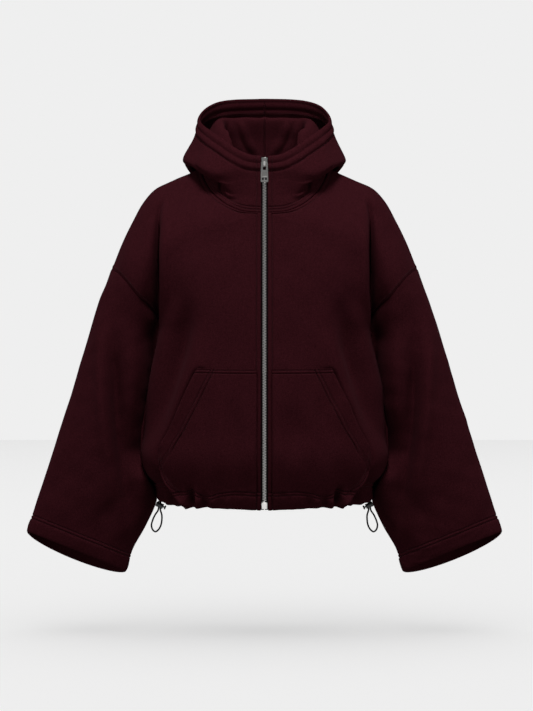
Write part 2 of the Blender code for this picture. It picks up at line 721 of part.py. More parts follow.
def build_cloth(collection, fleece, lining):
    """Fronts, back, sleeves, hood and pockets; gives the heights of the zip's rows."""
    front, front_upper = body_sheet(True)
    back, back_upper = body_sheet(False)
    sleeve = sleeve_sheet(front_upper, back_upper)
    hood, hood_points = hood_sheet()
    normals = shared_normals([front, back], [sleeve], [hood])
    both = Sheet()
    for sheet in (back, mirrored(back)):
        index = [both.add(point, wall) for point, wall in zip(sheet.points, sheet.walls)]
        both.faces += [[index[i] for i in face] for face in sheet.faces]
    normals.update({(-x, y, z): normal * (-1, 1, 1) for (x, y, z), normal in normals.items() if x > 1})
    add_cloth("back", both, normals, fleece, collection)
    pocket, pocket_normals = pocket_sheet()
    pocket_normals.update({(-x, y, z): n * (-1, 1, 1) for (x, y, z), n in pocket_normals.items()})
    for side, turn in (("right", lambda sheet: sheet), ("left", mirrored)):
        add_cloth("front_" + side, turn(front), normals, fleece, collection)
        add_cloth("sleeve_" + side, turn(sleeve), normals, fleece, collection)
        add_cloth("hood_" + side, turn(hood), normals, lining, collection)
        add_cloth("pocket_" + side, turn(pocket), pocket_normals, fleece, collection)
    lower = body_grid(columns_across(COLUMNS)[:2], BODY_HEIGHTS_FINE + BODY_HEIGHTS_COARSE)
    beside_zip = np.concatenate([lower, front_upper[:CHEST_ROWS, :2], hood_points[:, :2]])
    return beside_zip, normals


def add_tape(name, beside_zip, normals, finish, collection, turn):
    """One side of the zip's tape, behind the edge of the front and hood and made from it."""
    rows = []
    for edge, second in beside_zip:
        normal = normals[Sheet.key(edge)]
        behind = -normal * (HOOD_CLOTH + TAPE_GAP)
        reach = TAPE_SEAM / np.linalg.norm(second - edge)
        middle = np.array([TAPE_GAP, edge[1], edge[2]])
        rows.append([middle + behind * (0, 1, 1), edge + behind, edge + (second - edge) * reach + behind])
    sheet = Sheet()
    sheet.grid(np.array(rows), TAPE_CLOTH)
    own = shared_normals([sheet])
    own.update({(-x, y, z): n * (-1, 1, 1) for (x, y, z), n in list(own.items())})
    add_cloth(name, turn(sheet), own, finish, collection)


def add_chain(edge_points, finish, collection):
    """The closed chain, as one strip that fills the space between the fronts' edges."""
    ends = (BOX_TOP + METAL_GAP, SLIDER_BOTTOM - METAL_GAP)
    heights = [z for z in edge_points[:, 2] if ends[0] + 0.004 < z < ends[1] - 0.004]
    sheet = Sheet()
    grid = [[(x, read(FRONT_LINE, "z", "y", z) + METAL_GAP, z) for x in (-CHAIN_HALF, CHAIN_HALF)]
            for z in [ends[0]] + heights + [ends[1]]]
    sheet.grid(np.array(grid), CHAIN_DEPTH)
    flat = {key: np.array((0.0, -1.0, 0.0)) for key in sheet.index}
    add_cloth("zip_chain", sheet, flat, finish, collection)


def build_zip(collection, helpers, beside_zip, normals, tape, metal):
    top = read(FRONT_LINE, "z", "y", HINGE_Z)
    add_tape("zip_tape_right", beside_zip, normals, tape, collection, lambda sheet: sheet)
    add_tape("zip_tape_left", beside_zip, normals, tape, collection, mirrored)
    add_chain(beside_zip[:, 0], metal, collection)
    face = top - SLIDER_FACE
    body = block((-SLIDER_WIDTH / 2, face, SLIDER_BOTTOM),
                 (SLIDER_WIDTH / 2, top + SLIDER_BACK, SLIDER_TOP), METAL_BEVEL)
    slider = place("zip_slider", body, metal, collection)
    inside = face - 2 * HINGE_OUT
    arch = block((-BRIDGE_WIDTH / 2, inside - BRIDGE_THICK, HINGE_Z - BRIDGE_BELOW),
                 (BRIDGE_WIDTH / 2, face + BRIDGE_FOOT, HINGE_Z + BRIDGE_ABOVE), BRIDGE_BEVEL)
    boolean(slider, arch, "UNION", helpers)
    tunnel = block((-BRIDGE_WIDTH, inside, HINGE_Z - TUNNEL_HALF),
                   (BRIDGE_WIDTH, face, HINGE_Z + TUNNEL_HALF))
    boolean(slider, tunnel, "DIFFERENCE", helpers)
    middle = (BOX_TOP + BOX_BOTTOM) / 2
    half = (BOX_TOP - BOX_BOTTOM) / 2
    line = [read(FRONT_LINE, "z", "y", middle + step) for step in (-half, half)]
    shape = block((-BOX_HALF, -BOX_FRONT, -half), (BOX_HALF, BOX_BACK, half), METAL_BEVEL)
    box = place("zip_box", shape, metal, collection)
    box.location = (0.0, (line[0] + line[1]) / 2, middle)
    box.rotation_euler = (math.atan2(line[0] - line[1], 2 * half), 0.0, 0.0)
    build_pull(collection, metal, Vector((0.0, face - HINGE_OUT, HINGE_Z)))


def ring_points(outline):
    """The given corners with each one rounded by its own radius, four points a corner."""
    points = []
    count = len(outline)
    for i, (x, z, radius) in enumerate(outline):
        here = Vector((x, z))
        back = (Vector(outline[i - 1][:2]) - here).normalized() * radius
        ahead = (Vector(outline[(i + 1) % count][:2]) - here).normalized() * radius
        for share in (0.0, 1 / 3, 2 / 3, 1.0):
            points.append(here + back * (1 - share) ** 2 + ahead * share ** 2)
    return points


def four_corners(middle, half_widths, top, bottom, radii):
    """Corners, with their radii, of a shape that has one width at its top and one at its bottom."""
    (a, b), (upper, lower) = half_widths, radii
    return [(middle - a, top, upper), (middle + a, top, upper),
            (middle + b, bottom, lower), (middle - b, bottom, lower)]


def build_pull(collection, metal, hinge):
    """The pull: a flat plate, with a window for the bridge, that turns on its top bar."""
    top = PULL_BAR / 2
    bottom = top - PULL_LENGTH
    a, b = PULL_WIDTH[0] / 2, PULL_WIDTH[1] / 2
    outline = four_corners(0.0, (a, b), top, bottom, PULL_CORNER)
    window = four_corners(0.0, WINDOW_HALF, -top, -WINDOW_BOTTOM, WINDOW_CORNER)
    slots = [four_corners(side * SLOT_FROM_MIDDLE, (SLOT_HALF,) * 2, bottom + SLOT_TOP,
                          bottom + SLOT_BOTTOM, (SLOT_CORNER,) * 2) for side in (-1, 1)]
    curve = bpy.data.curves.new("zip_pull", "CURVE")
    curve.dimensions = "2D"
    curve.fill_mode = "BOTH"
    curve.extrude = PULL_THICK / 2
    for shape in [outline, window] + slots:
        ring = curve.splines.new("POLY")
        points = ring_points(shape)
        ring.points.add(len(points) - 1)
        for spot, (x, z) in zip(ring.points, points):
            spot.co = (x, z, 0.0, 1.0)
        ring.use_cyclic_u = True
    thing = bpy.data.objects.new("zip_pull", curve)
    collection.objects.link(thing)
    curve.materials.append(metal)
    thing.location = hinge
    thing.rotation_euler = (math.pi / 2, 0.0, 0.0)
    weld = thing.modifiers.new("Weld", "WELD")
    weld.merge_threshold = 0.00001


def lock_frame(side):
    """Centre and axis of a cord lock; the axis points to its button."""
    centre = Vector((side * LOCK_CENTRE.x, LOCK_CENTRE.y, LOCK_CENTRE.z))
    axis = Vector((-side * math.cos(LOCK_TILT), 0.0, -math.sin(LOCK_TILT)))
    return centre, axis


def cord_route(side):
    """Points of the drawcord from the hem down through the lock, round the loop and back up."""
    centre, _ = lock_frame(side)
    out = list(zip(*LOOP_SIDE.values()))
    points = []
    for x, z in out + [(0.0, -LOOP_BOTTOM)] + [(-x, z) for x, z in reversed(out)]:
        lean = LOOP_LEAN * smooth_step(-z / LOOP_LEAN_FULL)
        points.append(centre + Vector((side * (x + lean), 0.0, z)))
    return along([tuple(point) for point in points], np.linspace(0.0, 1.0, 41))


def build_cord_lock(side, name, collection, helpers, plastic, cord_finish):
    centre, axis = lock_frame(side)
    end = LOCK_LENGTH / 2
    barrel = rod(LOCK_RADIUS, -end, end, axis, centre)
    lock = place("cord_lock_" + name, barrel, plastic, collection)
    bore_depth = STEM_DEPTH + BUTTON_TRAVEL + FIT
    boolean(lock, rod(STEM_RADIUS + FIT, end - bore_depth, end + 0.001, axis, centre), "DIFFERENCE", helpers)
    for strand in (-1, 1):
        middle = centre + Vector((strand * STRAND_APART / 2, 0.0, 0.0))
        hole = rod(CORD_RADIUS + FIT, -LOCK_HOLE_HALF, LOCK_HOLE_HALF, (0, 0, 1), middle, sides=12)
        boolean(lock, hole, "DIFFERENCE", helpers)
    cap_from = end + BUTTON_TRAVEL + FIT
    cap = rod(BUTTON_RADIUS, cap_from, cap_from + BUTTON_CAP, axis, centre)
    button = place("cord_button_" + name, cap, plastic, collection)
    stem = rod(STEM_RADIUS, end - STEM_DEPTH, cap_from + BUTTON_CAP / 2, axis, centre)
    boolean(button, stem, "UNION", helpers)
    curve = bpy.data.curves.new("hem_cord_" + name, "CURVE")
    curve.dimensions = "3D"
    curve.bevel_depth = CORD_RADIUS
    curve.bevel_resolution = 2
    curve.use_fill_caps = True
    route = cord_route(side)
    line = curve.splines.new("POLY")
    line.points.add(len(route) - 1)
    for spot, point in zip(line.points, route):
        spot.co = (*point, 1.0)
    thing = bpy.data.objects.new("hem_cord_" + name, curve)
    collection.objects.link(thing)
    curve.materials.append(cord_finish)


def main():
    for thing in list(bpy.data.objects):
        bpy.data.objects.remove(thing, do_unlink=True)
    collection = bpy.data.collections.new("zip_up_hoodie")
    helpers = bpy.data.collections.new("cutters")
    for made in (collection, helpers):
        bpy.context.scene.collection.children.link(made)
    fleece = material("fleece", (0.030, 0.005, 0.009), 0.95)
    lining = material("hood_fleece", (0.034, 0.006, 0.010), 0.95)
    tape = material("zip_tape", (0.012, 0.003, 0.005), 0.9)
    metal = material("zip_metal", (0.60, 0.59, 0.57), 0.3, 1.0)
    plastic = material("cord_lock_plastic", (0.010, 0.010, 0.011), 0.4)
    cord = material("cord", (0.012, 0.012, 0.013), 0.9)
    beside_zip, normals = build_cloth(collection, fleece, lining)
    build_zip(collection, helpers, beside_zip, normals, tape, metal)
    for side, name in ((1, "right"), (-1, "left")):
        build_cord_lock(side, name, collection, helpers, plastic, cord)


main()
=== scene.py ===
"""The looks of the zip-up hoodie: its cloth, sewing, zip, cord locks and cords, in a plain studio."""
import math

import bmesh
import bpy
import numpy as np
from mathutils import Matrix, Vector


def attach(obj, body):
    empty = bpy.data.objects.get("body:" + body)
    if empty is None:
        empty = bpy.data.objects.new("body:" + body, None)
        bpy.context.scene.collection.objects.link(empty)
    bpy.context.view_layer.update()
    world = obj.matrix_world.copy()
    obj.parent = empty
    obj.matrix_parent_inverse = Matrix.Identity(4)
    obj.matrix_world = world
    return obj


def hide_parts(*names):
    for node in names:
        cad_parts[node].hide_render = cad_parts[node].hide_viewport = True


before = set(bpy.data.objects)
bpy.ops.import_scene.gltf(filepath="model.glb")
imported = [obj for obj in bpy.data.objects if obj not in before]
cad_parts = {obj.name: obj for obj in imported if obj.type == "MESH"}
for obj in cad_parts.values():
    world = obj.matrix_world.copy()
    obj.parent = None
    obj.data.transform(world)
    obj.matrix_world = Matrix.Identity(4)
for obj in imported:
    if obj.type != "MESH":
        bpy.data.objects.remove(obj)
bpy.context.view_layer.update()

# ---------- sizes shared with the solids
CLOTH = 0.0026
HOOD_CLOTH = 0.0030
ON_PANEL = 0.0009
ZIP_EDGE = 0.0068
UNDERARM = -0.325
HEM = -0.652
HEM_LIFT = 0.012
LIFT_FADES = 0.15
SQUARENESS = 2.4
FLANK_GAP = 0.0025        # between a sleeve and the body beside it
FLANK_EASE = 0.0022
FLANK_SPAN = (HEM - 0.03, 0.012, UNDERARM, 0.004)       # the heights of that gap, as window() reads them
CORNER_SHARE = 6 / 13     # of a front's edge above the underarm; the rest of it is the neck seam
TINY = 1e-9
MIRROR = np.array((-1.0, 1.0, 1.0))


def table(columns, rows, plain=""):
    """A table's columns by name, written in millimetres and read in metres, but for the plain ones."""
    return {name: np.array(values, float) / (1 if name in plain.split() else 1000)
            for name, values in zip(columns.split(), zip(*rows))}


BODY = table("z half_width", [
    (-652, 197), (-640, 200), (-620, 206), (-598, 218.5), (-560, 227.5), (-520, 227.5), (-460, 220),
    (-400, 209.5), (-350, 200.5), (-325, 197)])
FRONT_LINE = table("z y", [
    (-652, -131), (-625, -139), (-580, -150), (-500, -156), (-400, -152), (-325, -145), (-250, -135),
    (-180, -121), (-106, -101), (-50, -96), (-1, -93)])
BACK_LINE = table("z y", [
    (-652, 116), (-620, 125), (-580, 136), (-500, 142), (-400, 139), (-325, 135), (-220, 129), (-120, 116),
    (-50, 101), (8, 85)])
NECK_FRONT_HALF = table("x y z", [
    (6.8, -101, -106), (42, -95.5, -102), (67, -83, -91), (86, -66, -77), (104, -40, -55),
    (115.5, -17, -31), (120, 4, -14)])
NECK_BACK_HALF = table("x y z", [
    (0, 85, 8), (45, 79.5, 6), (85, 61, 1), (110, 34, -6), (120, 4, -14)])
SHOULDER = table("x y z", [
    (120, 4, -14), (140.6, 5, -24.5), (170.8, 6, -37.7), (209, 8, -55.5), (230, 9, -79), (249, 10, -113.2),
    (267.5, 10, -150.9), (289.7, 10, -205.7)])
ARMHOLE = table("x front_y back_y z", [
    (197, 0, 0, -325), (196.5, -24, 26, -314), (200, -47, 52, -296), (215.5, -63, 70, -274.5),
    (234.5, -70, 78, -258), (250, -65, 74, -240), (271, -38, 52, -218), (289.7, 10, 10, -205.7)])
SLEEVE = table("down inner_x inner_z outer_x outer_z front back", [
    (0.09, 192, -366, 305, -248, 70, 82), (0.205, 198, -418, 324.5, -305, 76, 86),
    (0.347, 203, -483, 346.2, -377.4, 80, 86), (0.498, 206.5, -552, 368.9, -452.8, 80, 84),
    (0.65, 196, -617, 393.4, -528.3, 74, 78), (0.808, 223, -688, 418.5, -608, 64, 68),
    (0.905, 248, -733, 434.5, -656, 55, 60), (1, 261.7, -776.4, 449.4, -701.9, 46, 54)], plain="down")
SLEEVE_MIDDLE = 0.012
CUFF_FRONT_RISE = 0.006
CUFF_BACK_DROP = 0.023
CUFF_DIRECTION = np.array((0.369, 0.0, -0.929))
CUFF_SHAPE_FROM = 0.6
SLEEVE_ROUNDNESS = 0.9
FALL_BOW = 0.14
SLOPE_BOW = -0.09
FOLD_HALF = 0.0044
FOLD_STARTS = 42.0
FOLDED_FROM = 64.0
HOOD = table("angle crest_x crest_y crest_z bag_x bag_y bag_z roll_x roll_y roll_z rim_x rim_y rim_z", [
    (0, 6.8, -98, -75, 6.8, -96.2, -47, 6.8, -94.5, -22, 6.8, -93, -1),
    (25.7, 43, -88, -72, 42, -88, -45, 40, -89, -22, 31, -87, 3),
    (38.6, 69, -75, -68, 66, -80, -50, 63, -84, -30, 44.5, -80, 10),
    (51.4, 80.2, -58, -48, 88.5, -71.5, -45, 88, -78.5, -32, 57, -71, 18),
    (64.3, 66, -40, 4, 99, -60, -40, 110, -69, -25, 74, -58, 31),
    (77.1, 70, -23, 44, 116, -40, -26, 133, -43, -12, 96, -36, 48),
    (90, 81, 0, 58, 136, 0, -12, 150, 0, -3, 118.5, 0, 69),
    (120, 84, 48, 79, 136, 85, -20, 148, 90, 0, 113, 55, 104),
    (150, 52, 79, 83, 86, 129, -83, 96, 155, -30, 76, 99, 124),
    (180, 0, 88, 85, 0, 150, -106, 0, 183, -38, 0, 118, 130)], plain="angle")
POCKET_TOP = -0.3935
POCKET_BOTTOM = -0.6185
POCKET_INNER = 0.0142
POCKET_EDGE = table("z x", [
    (-618.5, 160), (-600, 176), (-580, 187), (-544, 189.4), (-500, 169), (-450, 146), (-393.5, 120)])

SLIDER_TOP = -0.0040
SLIDER_BOTTOM = -0.0215
SLIDER_FACE = 0.0026
HINGE_Z = -0.0152
HINGE_OUT = 0.00175
PULL_THICK = 0.0018
PULL_BAR = 0.0025
PULL_LENGTH = 0.036
PULL_WIDTH = (0.0118, 0.0141)
BOX_TOP = -0.6362
BOX_BOTTOM = -0.6495

LOCK_CENTRE = Vector((0.1962, -0.032, -0.6490))
LOCK_TILT = math.radians(24.0)
LOCK_RADIUS = 0.0048
LOCK_LENGTH = 0.0145
BUTTON_RADIUS = 0.0038
BUTTON_CAP = 0.0030
BUTTON_TRAVEL = 0.0020
STEM_RADIUS = 0.0016
FIT = 0.0003
CORD_RADIUS = 0.0016
LOOP_LEAN = 0.0080        # the loop hangs outwards by this, in full from so far down:
LOOP_LEAN_FULL = 0.0520
LOOP_BOTTOM = 0.0500
LOOP_SIDE = table("x z", [
    (1.6, 7.8), (1.6, 3), (1.6, -3), (2, -9), (6.2, -18), (8.5, -28), (8.8, -38), (4.5, -47)])

# ---------- folds, placed one by one
def folds(rows):
    """Hollows in the front view of the right half, each a curve through three points, with its width
    on the side towards the zip and on the other, its depth, and the share of it on the left half."""
    return table("x0 z0 x1 z1 x2 z2 in_width out_width depth left", rows, plain="left")


FRONT_FOLDS = folds([
    (150, -646, 180, -606, 207, -566, 4.5, 15, 30, 1), (168, -648, 188, -621, 213, -588, 4, 9, 17.5, 0.9),
    (183, -650, 194, -630, 206, -610, 4, 7, 12, 1.2), (131, -652, 130, -630, 136, -600, 4.5, 7, 16.5, 0.9),
    (106, -652, 107, -634, 113, -606, 6, 8, 8, 1.2), (82, -652, 80, -636, 86, -616, 6, 8, 3, 0.7),
    (134, -250, 181, -415, 232, -570, 13, 22, 24, 1), (186, -200, 150, -290, 110, -350, 30, 26, 4, 0.8),
    (160, -70, 120, -150, 60, -220, 30, 34, 2.5, 1.2), (226, -110, 236, -180, 246, -240, 12, 20, 4, 0.9),
    (64, -430, 56, -520, 60, -606, 15, 18, 5.5, 1.1),
    (118, -420, 106, -480, 112, -560, 18, 18, 3.5, 0.8)])
BACK_FOLDS = folds([
    (34, -652, 30, -615, 20, -570, 8, 10, 8, 0.9), (72, -652, 70, -620, 84, -575, 7, 10, 8.8, 1.1),
    (106, -652, 110, -610, 124, -560, 6, 10, 8, 0.8), (138, -650, 146, -615, 150, -580, 6, 9, 8, 1),
    (166, -648, 172, -610, 180, -570, 6, 9, 9.6, 0.9), (186, -648, 190, -620, 196, -590, 5, 8, 8, 1.1),
    (190, -320, 140, -400, 100, -520, 30, 26, 6, 0.9), (196, -200, 130, -270, 60, -340, 34, 30, 4.5, 1.2),
    (180, -80, 130, -150, 100, -240, 30, 30, 3.5, 0.8), (10, -60, 16, -160, 6, -260, 30, 34, 3, 1),
    (40, -400, 50, -480, 40, -570, 26, 28, 4, 1.1)])
SLEEVE_FOLDS = folds([
    (284, -262, 272, -500, 228, -760, 13, 26, 30, 1), (326, -290, 340, -450, 384, -640, 22, 22, 3, 1.2),
    (262, -600, 292, -668, 334, -735, 18, 20, 4, 1.1),
    (352, -400, 362, -520, 402, -680, 18, 18, 2.5, 0.8)])
SLEEVE_BACK_FOLDS = folds([
    (250, -280, 300, -440, 290, -620, 20, 26, 8, 0.9), (300, -290, 340, -460, 370, -660, 24, 26, 5, 1.1),
    (240, -390, 262, -500, 246, -610, 14, 18, 6.5, 1), (262, -560, 300, -660, 340, -740, 18, 22, 4.5, 0.8),
    (336, -360, 366, -500, 400, -680, 20, 20, 3.5, 1.2)])
# The deep fold between body and arm: its line in the front view, and how deep it is there.
CREASE = table("x z depth", [
    (190, -72, 0), (196, -104, 22), (196.5, -150, 52), (196.8, -200, 68), (197.5, -250, 64),
    (198.5, -290, 46), (199, -330, 30), (200, -385, 0)])
CREASE_INNER = 0.0024
CREASE_OUTER = 0.024
CREASE_SLOT = 0.0060      # its bottom is a narrow slot
CREASE_BANK = 0.14        # of its depth, the low bank on the body beside it
CREASE_LEFT = 0.92
BANK, BANK_AT = 0.30, 1.9         # the banks of the other folds, and how many widths away they lie
HEM_ZONE = 0.02           # folds that start within it run out over the hem
ARM_PRESS = 0.044         # how far a sleeve is pressed back where it meets the body
ARM_REACH = 0.018
ARM_SPAN = (-0.605, 0.06, UNDERARM + 0.03, 0.05)         # as window() reads it
# Hollows in the hood: the angle and station where each starts and ends, and its width in degrees.
HOOD_FOLDS = table("a0 s0 a1 s1 width depth left", [
    (156, 0, 132, 2, 6, 8, 0.9), (171, 0.1, 149, 2, 4.5, 7.5, 1.1), (134, 0, 114, 2, 6, 6.5, 1),
    (112, 0.3, 98, 2.4, 5, 4, 0.8), (70, 6.2, 86, 8.2, 6, 2.8, 1.2), (100, 6.2, 110, 8.2, 6, 3.5, 0.9),
    (128, 5.8, 136, 8.2, 7, 5, 1.1), (152, 5.6, 146, 8, 6, 4.5, 0.8),
    (172, 5.4, 168, 7.8, 5, 3.5, 1)], plain="a0 s0 a1 s1 width left")
# The same, for hollows that run round the collar: width in stations.
COLLAR_FOLDS = table("a0 s0 a1 s1 width depth left", [
    (22, 0.8, 60, 1.8, 0.5, 5.5, 1), (30, 2.4, 52, 3.2, 0.7, 2.5, 1.2)], plain="a0 s0 a1 s1 width left")
# How far the casing's seam is drawn down by the gathers.
HEM_WAVE = table("x z", [
    (0, 0), (74, 0), (88, -3), (99, -7.2), (112, -8.5), (122, -5), (131, 1.2), (142, -0.6), (156, -1.2),
    (172, -4), (190, -1.5), (240, 0)])
# How much lower the hem's edge hangs where it is gathered.
HEM_DROP = table("x z", [
    (0, 0), (125, 0), (150, -2.8), (172, -5.2), (186, -3.5), (200, 0)])
# The cloth's unevenness: heights of its waves and their lengths.
BODY_WAVES = ((0.0016, 0.17), (0.0008, 0.06))
SLEEVE_WAVES = ((0.0017, 0.13), (0.0008, 0.05))
HOOD_WAVES = ((0.0010, 0.07),)
PUCKER_WAVES = ((0.0005, 0.011),)
PUCKERS_END = 0.045       # this far above a hem

# ---------- how fine the meshes are, and the thread
HOOD_DIVISIONS = (14, 14, 5, 24, 24, 5, 20, 18, 26)   # rows between the stations
MARK_STEPS = (0.0006, 0.0012, 0.0019, 0.0030)           # rows on either side of a line of stitches
EDGE_STEPS = (0.0006, 0.0014, 0.0026, 0.0045)
LEAST_STEP = 0.0004
JOIN_REACH = 7.0          # rows, over which the join of two surfaces is evened out
JOIN_ROUNDS = 30
STITCH = 0.0030
STITCH_GAP = 0.0007
THREAD = 0.00032
# A stitch's rings: where along it, their radius, and how high they lie, in thread radii.
SPINDLE = table("share radius lift", [
    (0, 0.3, -0.7), (0.25, 1, 0.5), (0.75, 1, 0.5), (1, 0.3, -0.7)], plain="share radius lift")


# ---------- curves and surfaces
def spline(knots, values, at):
    """A smooth curve through values at the given knots, read at each of at."""
    knots = np.asarray(knots, float)
    values = np.asarray(values, float)
    at = np.clip(np.asarray(at, float), knots[0], knots[-1])
    slopes = np.gradient(values, knots, axis=0)
    low = np.clip(np.searchsorted(knots, at, side="right") - 1, 0, len(knots) - 2)
    span = knots[low + 1] - knots[low]
    t = (at - knots[low]) / span
    if values.ndim > 1:
        t = t.reshape(-1, *[1] * (values.ndim - 1))
        span = span.reshape(t.shape)
    ease = t * t * (3 - 2 * t)
    start = values[low] * (1 - ease) + values[low + 1] * ease
    return start + span * t * (1 - t) * (slopes[low] * (1 - t) - slopes[low + 1] * t)


def read(columns, name, at):
    """A column's value at places in the table's first column."""
    return spline(next(iter(columns.values())), columns[name], at)


def body_half(height):
    return read(BODY, "half_width", height)


def body_line(in_front, height):
    """Depth of the body's outline in the middle, at the zip or at the centre back."""
    return read(FRONT_LINE if in_front else BACK_LINE, "y", height)


def points_of(columns, names="x y z"):
    return np.stack([columns[name] for name in names.split()], axis=1)


def armhole(in_front):
    return points_of(ARMHOLE, "x front_y z" if in_front else "x back_y z")


def neckline(in_front):
    return points_of(NECK_FRONT_HALF if in_front else NECK_BACK_HALF)


def run_length(points):
    """How far along a line each of its points is."""
    return np.concatenate([[0.0], np.cumsum(np.linalg.norm(np.diff(points, axis=0), axis=1))])


def along(points, shares):
    """Points of a smooth curve through the given ones, at shares of its length."""
    knots = run_length(points)
    return spline(knots / knots[-1], points, shares)


def round_edge(edge, shares):
    """Points of the armhole or neckline: the first half of the shares is in front, the second behind."""
    front = shares <= 0.5
    up = np.where(front, shares * 2, 2 - shares * 2)
    return np.where(front[:, None], along(edge(True), up), along(edge(False), up))


def smooth_step(value):
    value = np.clip(value, 0.0, 1.0)
    return value * value * (3 - 2 * value)


def window(value, low, rise, high, fall):
    """1 between low and high, with soft ends: how far it takes to rise after low and to fall before high."""
    return smooth_step((value - low) / rise) * smooth_step((high - value) / fall)


def bell(value, middle, reach):
    """1 at the middle and next to nothing at twice the reach."""
    return np.exp(-((value - middle) / reach) ** 2)


def rolled(distance, reach=0.0017):
    """How a sewn edge turns in, 1 at the edge."""
    return np.exp(-np.maximum(distance, 0) / reach)


def unit(vectors):
    return vectors / np.maximum(np.linalg.norm(vectors, axis=-1, keepdims=True), 1e-12)


def body_grid(from_edge, heights, in_front):
    """Points of the lower body: from_edge is 0 at the zip or centre back, 1 at the side."""
    from_edge, heights = np.meshgrid(from_edge, heights)
    inner = ZIP_EDGE if in_front else 0.0
    angle = from_edge * math.pi / 2
    across = np.abs(np.sin(angle)) ** (2 / SQUARENESS)
    forward = np.abs(np.cos(angle)) ** (2 / SQUARENESS)
    lift = HEM_LIFT * np.sin(angle) ** 2 * smooth_step(1 - (heights - HEM) / LIFT_FADES)
    return np.stack([inner + (body_half(heights) - inner) * across,
                     body_line(in_front, heights) * forward, heights + lift], axis=-1)


def patch(bottom, top, left, right, across, up):
    """The surface spanned by four edge curves; its rows run from bottom to top."""
    u = across[None, :, None]
    v = up[:, None, None]
    ruled = (1 - v) * bottom[None] + v * top[None] + (1 - u) * left[:, None] + u * right[:, None]
    corners = ((1 - u) * (1 - v) * left[0] + u * (1 - v) * right[0]
               + (1 - u) * v * left[-1] + u * v * right[-1])
    return ruled - corners


def upper_patch(in_front, across, up):
    """The front or back of the right half above the underarm, out to the armhole."""
    bottom = body_grid(across, [UNDERARM], in_front)[0]
    top = along(points_of(SHOULDER), across)
    neck = neckline(in_front)
    below = up < CORNER_SHARE - TINY
    heights = UNDERARM + (neck[0][2] - UNDERARM) * up[below] / CORNER_SHARE
    edge = np.stack([np.full(len(heights), neck[0][0]), body_line(in_front, heights), heights], axis=1)
    left = np.concatenate([edge, along(neck, (up[~below] - CORNER_SHARE) / (1 - CORNER_SHARE))])
    return patch(bottom, top, left, along(armhole(in_front), up), across, up)


def sleeve_grid(round_shares, downs):
    """The right sleeve: columns go round from the underarm by the front, rows run down."""
    angles = 2 * math.pi * round_shares
    in_front = angles < math.pi
    bulge = np.abs(np.sin(angles))
    rings = [round_edge(armhole, round_shares)]
    for down, inner_x, inner_z, outer_x, outer_z, front_deep, back_deep in zip(*SLEEVE.values()):
        inner = np.array([inner_x, SLEEVE_MIDDLE, inner_z])
        outer = np.array([outer_x, SLEEVE_MIDDLE, outer_z])
        ring = (inner + outer) / 2 - np.cos(angles)[:, None] * (outer - inner) / 2
        ring[:, 1] += np.where(in_front, -front_deep, back_deep) * bulge ** SLEEVE_ROUNDNESS
        tilt = np.where(in_front, -CUFF_FRONT_RISE, CUFF_BACK_DROP) * bulge
        tilt = tilt * smooth_step((down - CUFF_SHAPE_FROM) / (1 - CUFF_SHAPE_FROM))
        rings.append(ring + tilt[:, None] * CUFF_DIRECTION)
    return spline(np.concatenate([[0.0], SLEEVE["down"]]), np.array(rings), downs)


def off_flank(points):
    """The points moved outwards where the body beside them is too near."""
    x, y, z = np.moveaxis(points, -1, 0)
    height = np.clip(z, HEM, UNDERARM)
    depth = np.where(y < 0, -body_line(True, height), body_line(False, height))
    inside = np.clip(1 - (np.abs(y) / depth) ** SQUARENESS, 0.0, 1.0)
    least = body_half(height) * inside ** (1 / SQUARENESS) + FLANK_GAP
    clear = least + FLANK_EASE * np.logaddexp(0.0, (x - least) / FLANK_EASE)
    moved = points.copy()
    moved[..., 0] += window(z, *FLANK_SPAN) * (clear - x)
    return moved


def hood_grid(shares_round, row_stations):
    """The right half of the hood: columns from the zip to the centre back, rows by station."""
    neck = round_edge(neckline, shares_round)
    angles = 180.0 * shares_round
    crest, bag, roll, rim = (np.stack([read(HOOD, f"{name}_{axis}", angles) for axis in "xyz"], axis=1)
                             for name in ("crest", "bag", "roll", "rim"))
    folded = smooth_step((angles - FOLD_STARTS) / (FOLDED_FROM - FOLD_STARTS))[:, None]
    outward = roll - crest
    fall = (crest + bag) / 2 + FALL_BOW * folded * outward
    slope = (roll + rim) / 2 + SLOPE_BOW * folded * outward
    half = unit((1 - folded) * unit(rim - neck) + folded * unit(outward * (1, 1, 0)))
    half = half * FOLD_HALF * (0.4 + 0.6 * folded)
    stations = np.array([neck, (neck + crest) / 2, crest - half, crest + half, fall, bag - half,
                         bag + half, roll, slope, rim])
    columns = []
    for points in stations.transpose(1, 0, 2):
        steps = np.sqrt(np.linalg.norm(np.diff(points, axis=0), axis=1))
        knots = np.concatenate([[0.0], np.cumsum(steps)])
        columns.append(spline(knots, points, np.interp(row_stations, range(len(knots)), knots)))
    return np.array(columns).transpose(1, 0, 2)


# ---------- folds and seams in the cloth
def grid_normals(points, flip=False):
    """Outward directions of a grid; its columns run to the right and rows up, seen from outside."""
    normals = unit(np.cross(np.gradient(points, axis=1), np.gradient(points, axis=0)))
    return -normals if flip else normals


def nearest_on(curve, spots):
    """Share along the curve, signed distance beside it, of each 2D spot. Left of it is positive."""
    best = np.full(len(spots), 1e9)
    share = np.zeros(len(spots))
    beside = np.zeros(len(spots))
    for i in range(len(curve) - 1):
        a, step = curve[i], curve[i + 1] - curve[i]
        t = np.clip(((spots - a) @ step) / (step @ step), 0.0, 1.0)
        off = spots - a - t[:, None] * step
        far = np.einsum("ij,ij->i", off, off)
        nearer = far < best
        side = np.sign(step[0] * off[:, 1] - step[1] * off[:, 0])
        best = np.where(nearer, far, best)
        share = np.where(nearer, (i + t) / (len(curve) - 1), share)
        beside = np.where(nearer, side * np.sqrt(far), beside)
    return share, beside


